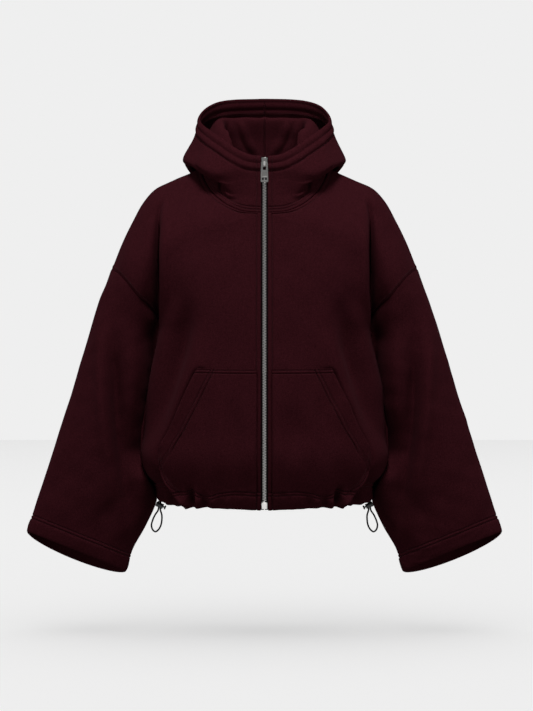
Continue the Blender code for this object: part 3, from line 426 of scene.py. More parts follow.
def hollow(share, beside, inside, outside, open_end):
    """A soft trough with low banks; it fades at its far end, and at its near end unless that is open."""
    width = np.where(beside > 0, inside, outside)
    trough = bell(beside, 0.0, width) - BANK * bell(np.abs(beside), BANK_AT * width, width)
    fade = smooth_step((1 - share) * 1.8)
    return trough * (fade if open_end else fade * smooth_step(share * 2.6))


def fold_depths(columns, points, left):
    """How deep the cloth is pressed in at each point by a table of folds."""
    spots = points[..., (0, 2)].reshape(-1, 2)
    depth = np.zeros(len(spots))
    t = np.linspace(0.0, 1.0, 15)[:, None]
    for *places, inside, outside, deep, left_share in zip(*columns.values()):
        start, middle, end = np.array(places).reshape(3, 2)
        pull = 2 * middle - (start + end) / 2
        curve = (1 - t) ** 2 * start + 2 * t * (1 - t) * pull + t ** 2 * end
        share, beside = nearest_on(curve, spots)
        at_hem = start[1] < HEM + HEM_ZONE
        depth += hollow(share, beside, inside, outside, at_hem) * deep * (left_share if left else 1.0)
    return depth.reshape(points.shape[:2])


def crease_depth(points, left):
    """Depth of the fold between body and arm: steep towards the body, long towards the arm."""
    spots = points[..., (0, 2)].reshape(-1, 2)
    places = points_of(CREASE, "x z")
    share, beside = nearest_on(along(places, np.linspace(0, 1, 25)), spots)
    knots = run_length(places)
    deep = spline(knots / knots[-1], CREASE["depth"], share) * (CREASE_LEFT if left else 1.0)
    outside, inside = np.maximum(beside, 0), np.maximum(-beside, 0)
    slope = 0.6 * np.exp(-(outside / CREASE_OUTER) ** 1.4) + 0.4 * bell(outside, 0.0, CREASE_SLOT)
    bank = CREASE_BANK * bell(inside, 0.013, 0.009) * (beside < 0)
    return ((slope * bell(inside, 0.0, CREASE_INNER) - bank) * deep).reshape(points.shape[:2])


def straight_folds(columns, order, run, cross, left):
    """Depth of straight hollows, whose ends are given in the two directions of a grid."""
    total = np.zeros(run.shape)
    for run0, cross0, run1, cross1, width, depth, left_share in zip(*(columns[n] for n in order.split())):
        share = (run - run0) / (run1 - run0)
        beside = cross - cross0 - (cross1 - cross0) * share
        depth = depth * (left_share if left else 1.0) * window(share, 0.0, 1 / 3, 1.0, 1 / 3)
        total += depth * bell(beside, 0.0, width)
    return total


def wave_noise(points, scale, seed):
    """A smooth uneven value from about -1 to 1, made of a few waves in all directions."""
    chance = np.random.default_rng(seed)
    total = np.zeros(points.shape[:-1])
    for _ in range(7):
        direction = unit(chance.normal(size=3))
        wave = points @ direction * (2 * math.pi / scale * chance.uniform(0.6, 1.6))
        total += np.sin(wave + chance.uniform(0, 6.3))
    return total / 3.5


def unevenness(points, waves, seed):
    return sum(height * wave_noise(points, scale, seed + i) for i, (height, scale) in enumerate(waves))


def puckers(points, low, seed):
    """The small unevenness of the cloth at a gathered hem."""
    return unevenness(points, PUCKER_WAVES, seed) * smooth_step((PUCKERS_END - low) / 0.012)


def soften(points, row):
    """Evens out the grid across a row, so that no line shows where two surfaces join there."""
    weight = bell(np.arange(len(points)), row, JOIN_REACH)[:, None, None]
    weight[0] = weight[-1] = 0
    smooth = points.copy()
    for _ in range(JOIN_ROUNDS):
        middle = smooth.copy()
        middle[1:-1] = (smooth[:-2] + smooth[2:]) / 2
        smooth += 0.5 * weight * (middle - smooth)
    return smooth


def groove(distance, at, wide=0.0012):
    """The dent of a row of stitches at a distance from an edge, 1 at its bottom."""
    return bell(distance, at, wide)


def spaced(length, step, marks=(), start_fine=True, end_fine=True):
    """Distances from 0 to length about a step apart, closer at the ends and round the marks."""
    fixed = {0.0, length, *marks}
    fixed.update(mark + side * d for mark in marks for d in MARK_STEPS for side in (-1, 1))
    if start_fine:
        fixed.update(EDGE_STEPS)
    if end_fine:
        fixed.update(length - d for d in EDGE_STEPS)
    kept = [0.0]
    for value in sorted(fixed):
        if value <= length and value - kept[-1] > LEAST_STEP:
            kept.append(value)
    kept[-1] = length
    spots = []
    for a, b in zip(kept, kept[1:]):
        parts = max(1, int(round((b - a) / step)))
        spots.extend(a + (b - a) * i / parts for i in range(parts))
    return np.array(spots + [length])


# ---------- meshes
def placed(name, data, made):
    """A new object with one finish, put in the scene."""
    data.materials.append(made)
    thing = bpy.data.objects.new(name, data)
    bpy.context.scene.collection.objects.link(thing)
    return thing


def mesh_object(name, points, faces, made, smooth=True):
    mesh = bpy.data.meshes.new(name)
    mesh.from_pydata(np.asarray(points, float).tolist(), [], faces)
    mesh.update()
    if smooth:
        mesh.shade_smooth()
    return placed(name, mesh, made)


def wall_faces(grid, beyond, borders):
    """Faces of a wall: a grid's, those of its inside, whose points are numbered so far beyond, and rims."""
    outside = np.stack([grid[:-1, :-1], grid[:-1, 1:], grid[1:, 1:], grid[1:, :-1]], axis=-1).reshape(-1, 4)
    rims = [np.stack([line[1:], line[:-1], line[:-1] + beyond, line[1:] + beyond], axis=-1)
            for line in borders]
    return np.concatenate([outside, outside[:, ::-1] + beyond, *rims])


def shell(name, outer, inner, made, closed_round=False, flip=False):
    """A wall between two grids of points, closed along its open edges."""
    if closed_round:
        outer, inner = outer[:, :-1], inner[:, :-1]
    count = outer[..., 0].size
    grid = np.arange(count).reshape(outer.shape[:2])
    borders = [grid[0], grid[:, -1], grid[-1][::-1], grid[:, 0][::-1]]
    if closed_round:
        grid = np.concatenate([grid, grid[:, :1]], axis=1)
        borders = [grid[0], grid[-1][::-1]]
    faces = wall_faces(grid, count, borders)
    points = np.concatenate([outer.reshape(-1, 3), inner.reshape(-1, 3)])
    return mesh_object(name, points, (faces[:, ::-1] if flip else faces).tolist(), made)


def tube_faces(rings, sides):
    """Faces between rings of points, one after the other, and over both ends."""
    faces = [[low + i, low + (i + 1) % sides, low + sides + (i + 1) % sides, low + sides + i]
             for low in range(0, (rings - 1) * sides, sides) for i in range(sides)]
    return faces + [list(range(sides))[::-1], list(range((rings - 1) * sides, rings * sides))]


def joined(parts):
    """One list of points and one of faces from several."""
    points, faces, count = [], [], 0
    for some, polygons in parts:
        points.append(np.asarray(some, float))
        faces.extend([[i + count for i in polygon] for polygon in polygons])
        count += len(some)
    return np.concatenate(points), faces


def sampled(at, knots, values):
    """Rows of values, read at places between their knots."""
    return np.stack([np.interp(at, knots, column) for column in np.transpose(values)], axis=-1)


def stitches(path, normals):
    """Short threads end to end along a path, each as a six sided spindle."""
    knots = run_length(path)
    count = max(1, int(knots[-1] / (STITCH + STITCH_GAP)))
    pitch = knots[-1] / count
    ring = np.arange(6) * math.pi / 3
    faces = tube_faces(len(SPINDLE["share"]), len(ring))
    parts = []
    for start in np.arange(count) * pitch:
        at = start + SPINDLE["share"] * (pitch - STITCH_GAP)
        centres = sampled(at, knots, path)
        ups = unit(sampled(at, knots, normals))
        sides = unit(np.cross(ups, unit(centres[-1] - centres[0])))
        around = np.multiply.outer(np.cos(ring), sides) + np.multiply.outer(np.sin(ring) * 0.8, ups)
        middles = centres + ups * THREAD * SPINDLE["lift"][:, None]
        spots = middles[:, None] + around.transpose(1, 0, 2) * THREAD * SPINDLE["radius"][:, None, None]
        parts.append((spots.reshape(-1, 3), faces))
    return joined(parts)


def distances(points):
    """How far each point is from the first and last column and from the first and last row."""
    across = np.linalg.norm(np.diff(points, axis=1), axis=2)
    up = np.linalg.norm(np.diff(points, axis=0), axis=2)
    first = np.concatenate([np.zeros((len(points), 1)), np.cumsum(across, axis=1)], axis=1)
    low = np.concatenate([np.zeros((1, points.shape[1])), np.cumsum(up, axis=0)])
    return first, first[:, -1:] - first, low, low[-1:] - low


def line_across(outer, normals, field, value):
    """Where a distance measured along the rows has a value: a line that runs up the grid."""
    spots, ups = [], []
    for row, directions, far in zip(outer, normals, field):
        order = np.argsort(far)
        spots.append(sampled(value, far[order], row[order]))
        ups.append(sampled(value, far[order], directions[order]))
    return np.array(spots), unit(np.array(ups))


def line_along(outer, normals, field, value):
    """Where a distance measured along the columns has a value: a line that runs across."""
    return line_across(outer.transpose(1, 0, 2), normals.transpose(1, 0, 2), field.T, value)


def turned_over(points, left):
    return points * MIRROR if left else points


def sided(name, left):
    return name + ("_left" if left else "_right")


# ---------- finishes
def put(node, **values):
    """Sets a node's inputs; their names are written with _ for a space."""
    for name, value in values.items():
        node.inputs[name.replace("_", " ")].default_value = value


def finish(name, color, roughness, metallic=0.0, specular=0.5):
    made = bpy.data.materials.new(name)
    made.use_nodes = True
    put(made.node_tree.nodes["Principled BSDF"], Base_Color=(*color, 1.0), Roughness=roughness,
        Metallic=metallic, Specular_IOR_Level=specular)
    made.diffuse_color = (*color, 1.0)
    return made


def add_noise(made, scale, detail, links_to):
    nodes, links = made.node_tree.nodes, made.node_tree.links
    place = nodes.get("Texture Coordinate") or nodes.new("ShaderNodeTexCoord")
    noise = nodes.new("ShaderNodeTexNoise")
    put(noise, Scale=scale, Detail=detail)
    links.new(place.outputs["Object"], noise.inputs["Vector"])
    links.new(noise.outputs["Fac"], links_to)


def fleece_finish(name, dark, light):
    """Brushed fleece: a short nap, slightly mottled, with a soft sheen at grazing angles."""
    made = finish(name, light, 0.95, specular=0.0)
    nodes, links = made.node_tree.nodes, made.node_tree.links
    shader = nodes["Principled BSDF"]
    put(shader, Sheen_Weight=0.02, Sheen_Roughness=0.55, Sheen_Tint=(0.90, 0.32, 0.40, 1.0))
    ramp = nodes.new("ShaderNodeValToRGB")
    for stop, position, color in zip(ramp.color_ramp.elements, (0.33, 0.67), (dark, light)):
        stop.position = position
        stop.color = (*color, 1.0)
    add_noise(made, 620.0, 4.0, ramp.inputs["Fac"])
    links.new(ramp.outputs["Color"], shader.inputs["Base Color"])
    bump = nodes.new("ShaderNodeBump")
    put(bump, Strength=0.42, Distance=0.0007)
    add_noise(made, 640.0, 3.0, bump.inputs["Height"])
    links.new(bump.outputs["Normal"], shader.inputs["Normal"])
    return made


def stage_finish(name, diffuse, glow):
    """A pale matt ground that gives off part of its own light, so that it stays even."""
    made = finish(name, (diffuse,) * 3, 1.0, specular=0.0)
    put(made.node_tree.nodes["Principled BSDF"], Emission_Color=(1.0, 1.0, 1.0, 1.0), Emission_Strength=glow)
    return made


FLEECE = fleece_finish("fleece", (0.0225, 0.0040, 0.0057), (0.0455, 0.0085, 0.0122))
HOOD_FLEECE = fleece_finish("hood_fleece", (0.0235, 0.0042, 0.0059), (0.0465, 0.0087, 0.0125))
THREAD_FINISH = finish("thread", (0.024, 0.0034, 0.0052), 0.75, specular=0.2)
TAPE_FINISH = finish("zip_tape", (0.008, 0.002, 0.0034), 0.95, specular=0.08)
METAL = finish("zip_metal", (0.86, 0.85, 0.83), 0.34, 1.0)
PULL_METAL = finish("zip_metal_pull", (0.36, 0.355, 0.345), 0.34, 1.0)
# The pull's sunk middle is a darker metal than its frame: painted shade in the recess.
SHADED_RECESS_METAL = finish("zip_metal_recess_shade", (0.26, 0.256, 0.247), 0.45, 1.0)
PLASTIC = finish("cord_lock_plastic", (0.010, 0.010, 0.011), 0.35)
CORD_FINISH = finish("cord", (0.008, 0.008, 0.009), 0.9, specular=0.15)
# A near black sheet that fills the pull's slots: painted shade in place of the open slots.
SLOT_SHADE = finish("painted_slot_shade", (0.004, 0.004, 0.004), 0.9, specular=0.05)


def on_garment(thing, slot, *nodes, body="garment"):
    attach(thing, body)
    if nodes:
        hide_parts(*nodes)
    return thing


def cloth(part, left, outer, inner, made=FLEECE, slot="fleece", closed_round=False):
    """A piece of cloth of one half, in place of its solid."""
    thing = shell(sided("cloth_" + part, left), turned_over(outer, left), turned_over(inner, left), made,
                  closed_round, flip=left != closed_round)
    return on_garment(thing, slot, sided(part, left))


def add_stitches(part, lines, left):
    points, faces = joined([stitches(path, normals) for path, normals in lines])
    if left:
        points = points * MIRROR
        faces = [face[::-1] for face in faces]
    on_garment(mesh_object(sided("stitches_" + part, left), points, faces, THREAD_FINISH), "fleece")


# ---------- the body's panels
FINE = 0.0033             # usual size of the meshes' faces
MID_HEIGHT = -0.40
ZIP_STITCH = 0.0077       # from the edge of a front to its row of stitches
HEM_STITCHES = (0.0265, 0.0325)
ARMHOLE_STITCH = 0.0065
HEM_PUFF = 0.0013
HEM_DOUBLED = 0.0016      # the turned hem is thicker by this
BELLY, BELLY_AT, BELLY_REACH = 0.0060, -0.558, 0.036      # the front hangs out above the hem
EDGE_FOLDS = 0.32         # the share of a fold's depth that is left at the hem's edge
HEM_PULL = 0.06           # how far a gather lifts the hem's edge, by its depth
LEFT_SHIFT = 0.004        # the left half's gathers lie this much nearer the zip
WAVE_SPAN = (0.0, 0.026, 0.13, 0.09)      # how far above the hem the casing's wave is felt
DROP_ENDS = 0.055
SEAM_DIP = 0.0012
STITCH_DIP = 0.0017
EDGE_DIP = 0.0008
ARMHOLE_DIP = 0.8 * SEAM_DIP
RIDGE, RIDGE_AT, RIDGE_REACH = 0.0009, 0.006, 0.003       # the seam's cloth under the armhole's edge
FADE = 0.016              # folds die out over this distance from a sewn edge
SEAM_REACH = 0.007        # from a seam, over which both sides take on one direction
CORE, CORE_FADES = 0.012, 0.035   # nothing is pressed in this near the middle of the depth
POCKET_PRESS = 0.0115     # how deep a front is drawn in beside a pocket's free edge
SLANT_SPAN = (POCKET_BOTTOM, 0.05, POCKET_TOP + 0.006, 0.02)
PRESS_AT, PRESS_OUT, PRESS_IN = -0.0020, 0.0062, 0.012    # from that edge, and its reach either way
CASING_LIFT = 0.0030
LIFT_ACROSS = (POCKET_INNER, 0.002, 0.165, 0.02)
LIFT_UP = (-0.006, 0.026, HEM_STITCHES[1] + 0.0012, 0.0014)
ARM_CENTRE = armhole(True).mean(axis=0) * (1.0, 0.0, 1.0)
LOW_ROWS = HEM + spaced(UNDERARM - HEM, FINE, HEM_STITCHES, end_fine=False)[:-1]
UP_SHARES = np.linspace(0.0, 1.0, 131)
CORNER_ROW = len(LOW_ROWS) + int(np.sum(UP_SHARES < CORNER_SHARE - TINY))     # at the zip's top corner


def shares_by_length(in_front):
    """Shares across a quarter of the body, evenly spaced by length, closer at the zip and at the side."""
    fine = np.linspace(0.0, 1.0, 3001)
    length = run_length(body_grid(fine, [MID_HEIGHT], in_front)[0])
    spots = spaced(length[-1], FINE, [ZIP_STITCH] if in_front else [], start_fine=in_front)
    shares = np.interp(spots, length, fine)
    shares[-1] = 1.0
    return shares


def seam_directions(normals, plain, to_armhole, to_shoulder=None):
    """Directions that are the same on both sides of the armhole seam and of the shoulder seam."""
    if to_shoulder is not None:
        step = np.gradient(plain[-1], axis=0)
        upwards = unit(np.stack([-step[:, 2], np.zeros(len(step)), step[:, 0]], axis=1))
        near = bell(to_shoulder, 0.0, SEAM_REACH)[..., None]
        normals = normals * (1 - near) + upwards[None] * near
    near = bell(to_armhole, 0.0, SEAM_REACH)[..., None]
    return unit(normals * (1 - near) + unit(plain - ARM_CENTRE) * near)


def pressed_in(points, depth):
    """The points moved towards the middle of the garment's depth, from the front and from behind."""
    y = points[..., 1]
    moved = points.copy()
    moved[..., 1] -= depth * smooth_step((np.abs(y) - CORE) / CORE_FADES) * np.sign(y)
    return moved


def creased(points, left):
    return pressed_in(points, crease_depth(points, left))


def pressed_arm(points):
    """The points of a sleeve pressed back where it meets the body, below the underarm."""
    beside = np.maximum(points[..., 0] - body_half(points[..., 2]) - FLANK_GAP, 0)
    depth = ARM_PRESS * np.exp(-(beside / ARM_REACH) ** 1.4)
    return pressed_in(points, depth * window(points[..., 2], *ARM_SPAN))


def hem_form(low):
    """How far the cloth stands out near a hem, by the distance from its edge."""
    puffed = smooth_step((HEM_STITCHES[1] + 0.002 - low) / 0.003)
    tube = np.sin(np.clip(low / HEM_STITCHES[0], 0, 1) * math.pi) ** 0.5
    dents = sum(groove(low, at) for at in HEM_STITCHES)
    return HEM_PUFF * puffed * (0.45 + 0.55 * tube) - STITCH_DIP * dents - EDGE_DIP * rolled(low, 0.002)


def hem_thickness(low):
    return (CLOTH + HEM_DOUBLED * (low < HEM_STITCHES[1]))[..., None]


def drawn_down(points, low, left):
    """How far the gathers draw down the casing's seam, the cloth above it and the hem's edge."""
    across = np.abs(points[..., 0]) + (LEFT_SHIFT if left else 0.0)
    dropped = read(HEM_DROP, "z", across) * smooth_step(1 - low / DROP_ENDS)
    return read(HEM_WAVE, "z", across) * window(low, *WAVE_SPAN) + dropped


def body_form(points, depth, low, sides, in_front, left):
    """How far a point of the front or back stands out from the plain form."""
    seed = (11 if in_front else 21) + 40 * left
    depth = depth * (EDGE_FOLDS + (1 - EDGE_FOLDS) * smooth_step(low / 0.016))
    belly = BELLY * bell(points[..., 2], BELLY_AT, BELLY_REACH) if in_front else 0.0
    form = unevenness(points, BODY_WAVES, seed) - depth + puckers(points, low, seed + 2) + belly
    return smooth_step(sides / FADE) * form + hem_form(low)


def casing_lift(points, low):
    """How far the casing stands out where the pocket's cloth is sewn in with it."""
    return CASING_LIFT * window(points[..., 0], *LIFT_ACROSS) * window(low, *LIFT_UP)


def beside_pocket(points):
    """How deep a front is drawn in beside the pocket's free edge."""
    edge = read(POCKET_EDGE, "x", np.clip(points[..., 2], POCKET_BOTTOM, POCKET_TOP))
    beyond = points[..., 0] - edge - PRESS_AT
    slant = window(points[..., 2], *SLANT_SPAN)
    return POCKET_PRESS * slant * bell(beyond, 0.0, np.where(beyond > 0, PRESS_OUT, PRESS_IN))


def body_panel(in_front, left):
    """The right half of the front or back: its points outside and inside, and distances over its cloth."""
    across = shares_by_length(in_front)
    plain = np.concatenate([body_grid(across, LOW_ROWS, in_front), upper_patch(in_front, across, UP_SHARES)])
    plain = soften(plain, len(LOW_ROWS))
    row = np.arange(len(plain))[:, None]
    first, last, _, shoulder = distances(plain)
    low = np.concatenate([LOW_ROWS - HEM, np.ones(len(UP_SHARES))])       # above the underarm it is just 1
    low = np.broadcast_to(low[:, None], last.shape)
    to_armhole = last + (row < len(LOW_ROWS))
    normals = seam_directions(grid_normals(plain, not in_front), plain, to_armhole, shoulder)
    seam = np.minimum(last, shoulder)
    depth = fold_depths(FRONT_FOLDS if in_front else BACK_FOLDS, plain, left)
    form = body_form(plain, depth, low, np.minimum(seam, first) if in_front else seam, in_front, left)
    form -= np.maximum(ARMHOLE_DIP * rolled(last, 0.0012), SEAM_DIP * rolled(shoulder, 0.0022))
    form += RIDGE * bell(last, RIDGE_AT, RIDGE_REACH) * (row >= len(LOW_ROWS))
    if in_front:
        form += EDGE_DIP * smooth_step((ZIP_STITCH - first) / 0.003) * (1 - 0.6 * rolled(first))
        form += casing_lift(plain, low) - STITCH_DIP * groove(first, ZIP_STITCH) - beside_pocket(plain)
    form -= (row > CORNER_ROW) * SEAM_DIP * rolled(first, 0.0016)
    outer = creased(plain, left) + normals * form[..., None]
    outer[..., 2] += drawn_down(plain, low, left) + HEM_PULL * depth * np.exp(-low / 0.010)
    inwards = seam_directions(grid_normals(outer, not in_front), plain, to_armhole, shoulder)
    return outer, outer - inwards * hem_thickness(low), first, last, low


def panel_lines(outer, normals, last, low, columns):
    """The casing's two rows of stitches, over some of the columns, and the row beside the armhole."""
    hem = slice(0, len(LOW_ROWS)), columns
    top = slice(len(LOW_ROWS) + 2, None)
    return [*(line_along(outer[hem], normals[hem], low[hem], at) for at in HEM_STITCHES),
            line_across(outer[top], normals[top], last[top], ARMHOLE_STITCH)]


def front(left):
    outer, inner, first, last, low = body_panel(True, left)
    thing = cloth("front", left, outer, inner)
    normals = grid_normals(outer)
    lines = [line_across(outer, normals, first, ZIP_STITCH)]
    add_stitches("front", lines + panel_lines(outer, normals, last, low, slice(2, -1)), left)


def back():
    """The whole back: two halves that share the points of the centre line below the neck."""
    halves = [body_panel(False, left) for left in (False, True)]
    shape = halves[0][0].shape[:2]
    count = shape[0] * shape[1]
    grid = np.arange(count).reshape(shape)
    shared = slice(0, CORNER_ROW + 1)
    points, faces = [], []
    for left, (outer, inner, *_) in zip((False, True), halves):
        for layer in (outer, inner):
            layer[shared, 0, 0] = 0.0
            points.append(turned_over(layer, left).reshape(-1, 3))
        here = grid + 2 * count * left
        half = wall_faces(here, count, [here[0], here[:, -1], here[-1][::-1], here[CORNER_ROW:, 0][::-1]])
        faces.append(half if left else half[:, ::-1])     # seen from behind, its columns run to the left
    points = np.concatenate(points)
    swap = np.arange(len(points))
    for mine in (grid[shared, 0], grid[shared, 0] + count):
        swap[mine + 2 * count] = mine
        points[mine] = (points[mine] + points[mine + 2 * count]) / 2
    faces = swap[np.concatenate(faces)]
    used = np.unique(faces)
    thing = mesh_object("cloth_back", points[used], np.searchsorted(used, faces).tolist(), FLEECE)
    on_garment(thing, "fleece", "back")
    for left, (outer, _, _, last, low) in zip((False, True), halves):
        lines = panel_lines(outer, grid_normals(outer, True), last, low, slice(0, -1))
        add_stitches("back", lines, left)


# ---------- sleeves
SLEEVE_FINE = 0.479       # length of a sleeve for each share of it, near its hem
SLEEVE_COLUMNS = 133
SIDE_STARTS, SIDE_FADES = 0.006, 0.022    # from its middle to where its front's or back's folds start


def round_normals(points):
    """Outward directions of a sleeve, whose first and last columns are one."""
    normals = grid_normals(points, flip=True)
    normals[:, 0] = normals[:, -1] = unit(normals[:, 0] + normals[:, -1])
    return normals


def sleeve(left):
    downs = spaced(SLEEVE_FINE, FINE, [SLEEVE_FINE - at for at in HEM_STITCHES]) / SLEEVE_FINE
    plain = sleeve_grid(np.linspace(0.0, 1.0, SLEEVE_COLUMNS), downs)
    _, _, top, low = distances(plain)
    normals = seam_directions(round_normals(plain), plain, top)
    ahead = SLEEVE_MIDDLE - plain[..., 1]
    front_side, back_side = (smooth_step((far - SIDE_STARTS) / SIDE_FADES) for far in (ahead, -ahead))
    depth = (fold_depths(SLEEVE_FOLDS, plain, left) * front_side
             + fold_depths(SLEEVE_BACK_FOLDS, plain, left) * back_side)
    seed = 61 + 40 * left
    uneven = unevenness(plain, SLEEVE_WAVES, seed) * (0.25 + 0.75 * (front_side + back_side))
    fade = smooth_step(top / FADE) * (0.35 + 0.65 * smooth_step(low / 0.030))
    form = fade * (uneven - depth) + puckers(plain, low, seed + 2) + hem_form(low)
    form -= ARMHOLE_DIP * rolled(top, 0.0012)
    outer = off_flank(pressed_arm(creased(plain, left)) + normals * form[..., None])
    outer[:, -1] = outer[:, 0]
    normals = seam_directions(round_normals(outer), plain, top)
    thing = cloth("sleeve", left, outer, outer - normals * hem_thickness(low), closed_round=True)
    add_stitches("sleeve", [line_along(outer, normals, low, at) for at in HEM_STITCHES], left)


# ---------- hood
HOOD_FINE = 0.42          # length round half a hood
RIM_BAND = 0.028          # the turned edge
RIM_PUFF = 0.0024
RIM_DOUBLED = 0.0018
RIM_DIP = 0.0022
CENTRE_DIP = 0.0020
NECK_BINDING = (0.0052, 0.0100)   # lines of stitches above the neck seam
BINDING_ENDS = 100        # degrees round the neck


def hood_form(angles, stations, rim, seam, zip_edge, neck, left):
    """How far the hood stands out from its plain form: its band, seams and soft folds."""
    turn, station = np.meshgrid(angles, stations)
    form = -(straight_folds(HOOD_FOLDS, "s0 a0 s1 a1 width depth left", station, turn, left)
             + straight_folds(COLLAR_FOLDS, "a0 s0 a1 s1 width depth left", turn, station, left))
    form *= smooth_step(np.minimum(seam, zip_edge) / 0.012) * smooth_step(neck / 0.006)
    form += (rim < RIM_BAND) * RIM_PUFF * np.abs(np.sin(rim / RIM_BAND * 2 * math.pi))
    form -= RIM_DIP * groove(rim, RIM_BAND, 0.0022)
    form -= CENTRE_DIP * rolled(seam, 0.0020) + SEAM_DIP * rolled(neck, 0.0022)
    form -= STITCH_DIP * groove(zip_edge, ZIP_STITCH, 0.0016)
    return form - STITCH_DIP * sum(groove(neck, at, 0.0014) for at in NECK_BINDING) * (turn < BINDING_ENDS)


def hood(left):
    shares = spaced(HOOD_FINE, 0.0040, [ZIP_STITCH * 1.6]) / HOOD_FINE
    stations = np.concatenate([[0.0]] + [i + np.arange(1, n + 1) / n for i, n in enumerate(HOOD_DIVISIONS)])
    plain = hood_grid(shares, stations)
    zip_edge, seam, neck, rim = distances(plain)
    form = hood_form(180 * shares, stations, rim, seam, zip_edge, neck, left)
    form += unevenness(plain, HOOD_WAVES, 91 + left) * smooth_step(np.minimum(seam, neck) / FADE)
    outer = plain + grid_normals(plain) * form[..., None]
    outer[:, -1, 0] = 0.0
    normals = grid_normals(outer)
    tube = (rim < RIM_BAND) * np.sin(np.clip(rim / RIM_BAND, 0, 1) * math.pi) ** 0.5
    inner = outer - normals * (HOOD_CLOTH + RIM_DOUBLED * tube)[..., None]
    inner[:, -1, 0] = 0.0
    thing = cloth("hood", left, outer, inner, HOOD_FLEECE, "hood_fleece")
    lines = [line_along(outer, normals, rim, RIM_BAND), line_along(inner, -normals, rim, RIM_BAND),
             line_across(outer, normals, zip_edge, ZIP_STITCH)]
    ahead = slice(None), slice(1, int(np.sum(180 * shares < 90)))
    lines += [line_along(outer[ahead], normals[ahead], neck[ahead], at) for at in NECK_BINDING]
    add_stitches("hood", lines, left)


# ---------- pockets
POCKET_BAND = 0.034
POCKET_FACING = (0.0250, 0.0315)
EDGE_STITCHES = (0.003, 0.009)
TOP_MARKS = (0.2219, 0.2159)      # from the pocket's foot up to its top rows of stitches
POCKET_KNEE = -0.542      # the slanted edge ends here, and its facing runs on to the side edge
FACING_RUN = 0.85
POCKET_GAPE = 0.0040      # how far the slanted edge stands off
POCKET_ROLL = 0.0042
FACING_DIP = 0.0019
SLANT_FROM = -0.550
FACING_FROM = -0.567      # lowest height of the facing's stitches
SIDE_UP_TO = -0.545       # highest point of the side edge's stitches


def pocket_grid(heights):
    """A pocket on the plain front: columns from the zip to the free edge, where they lie closer."""
    marks = [POCKET_BAND - at for at in (*POCKET_FACING, EDGE_STITCHES[0])]
    bands = spaced(POCKET_BAND, 0.0016, marks)
    rows = []
    for height in heights:
        outer_x = read(POCKET_EDGE, "x", height)
        inside = np.linspace(POCKET_INNER, outer_x - POCKET_BAND, 32)[:-1]
        across = np.concatenate([inside, outer_x - POCKET_BAND + bands])
        share = ((across - ZIP_EDGE) / (body_half(height) - ZIP_EDGE)) ** (SQUARENESS / 2)
        rows.append(body_grid(np.arcsin(share) * 2 / math.pi, [height], True)[0])
    return np.array(rows)


def pocket(left):
    heights = POCKET_BOTTOM + spaced(POCKET_TOP - POCKET_BOTTOM, 0.0030, TOP_MARKS)
    plain = pocket_grid(heights)
    _, last, _, top = distances(plain)
    above = np.broadcast_to((heights - HEM)[:, None], last.shape)
    sides = np.minimum(plain[..., 0] - ZIP_EDGE, np.abs(plain[..., 1]))
    slant = smooth_step((plain[..., 2] - SLANT_FROM) / 0.02)
    facing = last + FACING_RUN * np.maximum(POCKET_KNEE - plain[..., 2], 0.0)
    form = body_form(plain, fold_depths(FRONT_FOLDS, plain, left), above, sides, True, left)
    form += ON_PANEL + CLOTH
    form += slant * (POCKET_GAPE * np.exp(-last / 0.011) + 0.0009 * (last < POCKET_FACING[1]))
    form -= slant * POCKET_ROLL * rolled(last, 0.0018)
    form -= FACING_DIP * sum(groove(facing, at, 0.0013) for at in POCKET_FACING)
    form -= (1 - slant) * (STITCH_DIP * groove(last, EDGE_STITCHES[0]) + EDGE_DIP * rolled(last, 0.0015))
    form -= STITCH_DIP * sum(groove(top, at) for at in EDGE_STITCHES) + EDGE_DIP * rolled(top, 0.0015)
    outer = creased(plain, left) + grid_normals(plain) * form[..., None]
    outer[..., 2] += drawn_down(plain, above, left)
    normals = grid_normals(outer)
    thing = cloth("pocket", left, outer, outer - normals * CLOTH)
    lines = []
    for rows, field, places in ((heights > FACING_FROM, facing, POCKET_FACING),
                                (heights < SIDE_UP_TO, last, EDGE_STITCHES)):
        lines += [line_across(outer[rows], normals[rows], field[rows], at) for at in places]
    lines += [line_along(outer[:, 1:-1], normals[:, 1:-1], top[:, 1:-1], at) for at in EDGE_STITCHES]
    add_stitches("pocket", lines, left)


# ---------- zip
TOOTH_PITCH = 0.00290
TOOTH_HALF = 0.000651
TOOTH_REACH = 0.0010      # past the centre line
CHAIN_HALF = 0.0037
CHAIN_FRONT = 0.0003      # the teeth's faces lie this far behind the fronts' line
CHAIN_DEPTH = 0.0026
FIRST_TOOTH = SLIDER_BOTTOM - 0.0062
# Corners of a tooth, across and in halves of its height; then how far behind its face, and how large.
TOOTH_OUTLINE = ((CHAIN_HALF, -1.0), (CHAIN_HALF, 1.0), (0.0016, 1.0), (0.0004, 0.72), (-TOOTH_REACH, 0.72),
                 (-TOOTH_REACH, -0.72), (0.0004, -0.72), (0.0016, -1.0))
TOOTH_LEVELS = ((0.0, 0.50), (0.0005, 0.78), (0.0014, 1.0), (CHAIN_DEPTH, 1.0))
# The tape's places across, and how far behind the fronts' line it lies there.
TAPE_SECTION = ((0.0008, 0.0030), (0.0030, 0.0026), (0.0042, 0.0024), (0.0062, 0.0036), (0.0128, 0.0042))
TAPE_THICK = 0.0008
SLIDER_HALF = 0.00575
BRIDGE_HALF = 0.0018
BOX_HALF = 0.0053


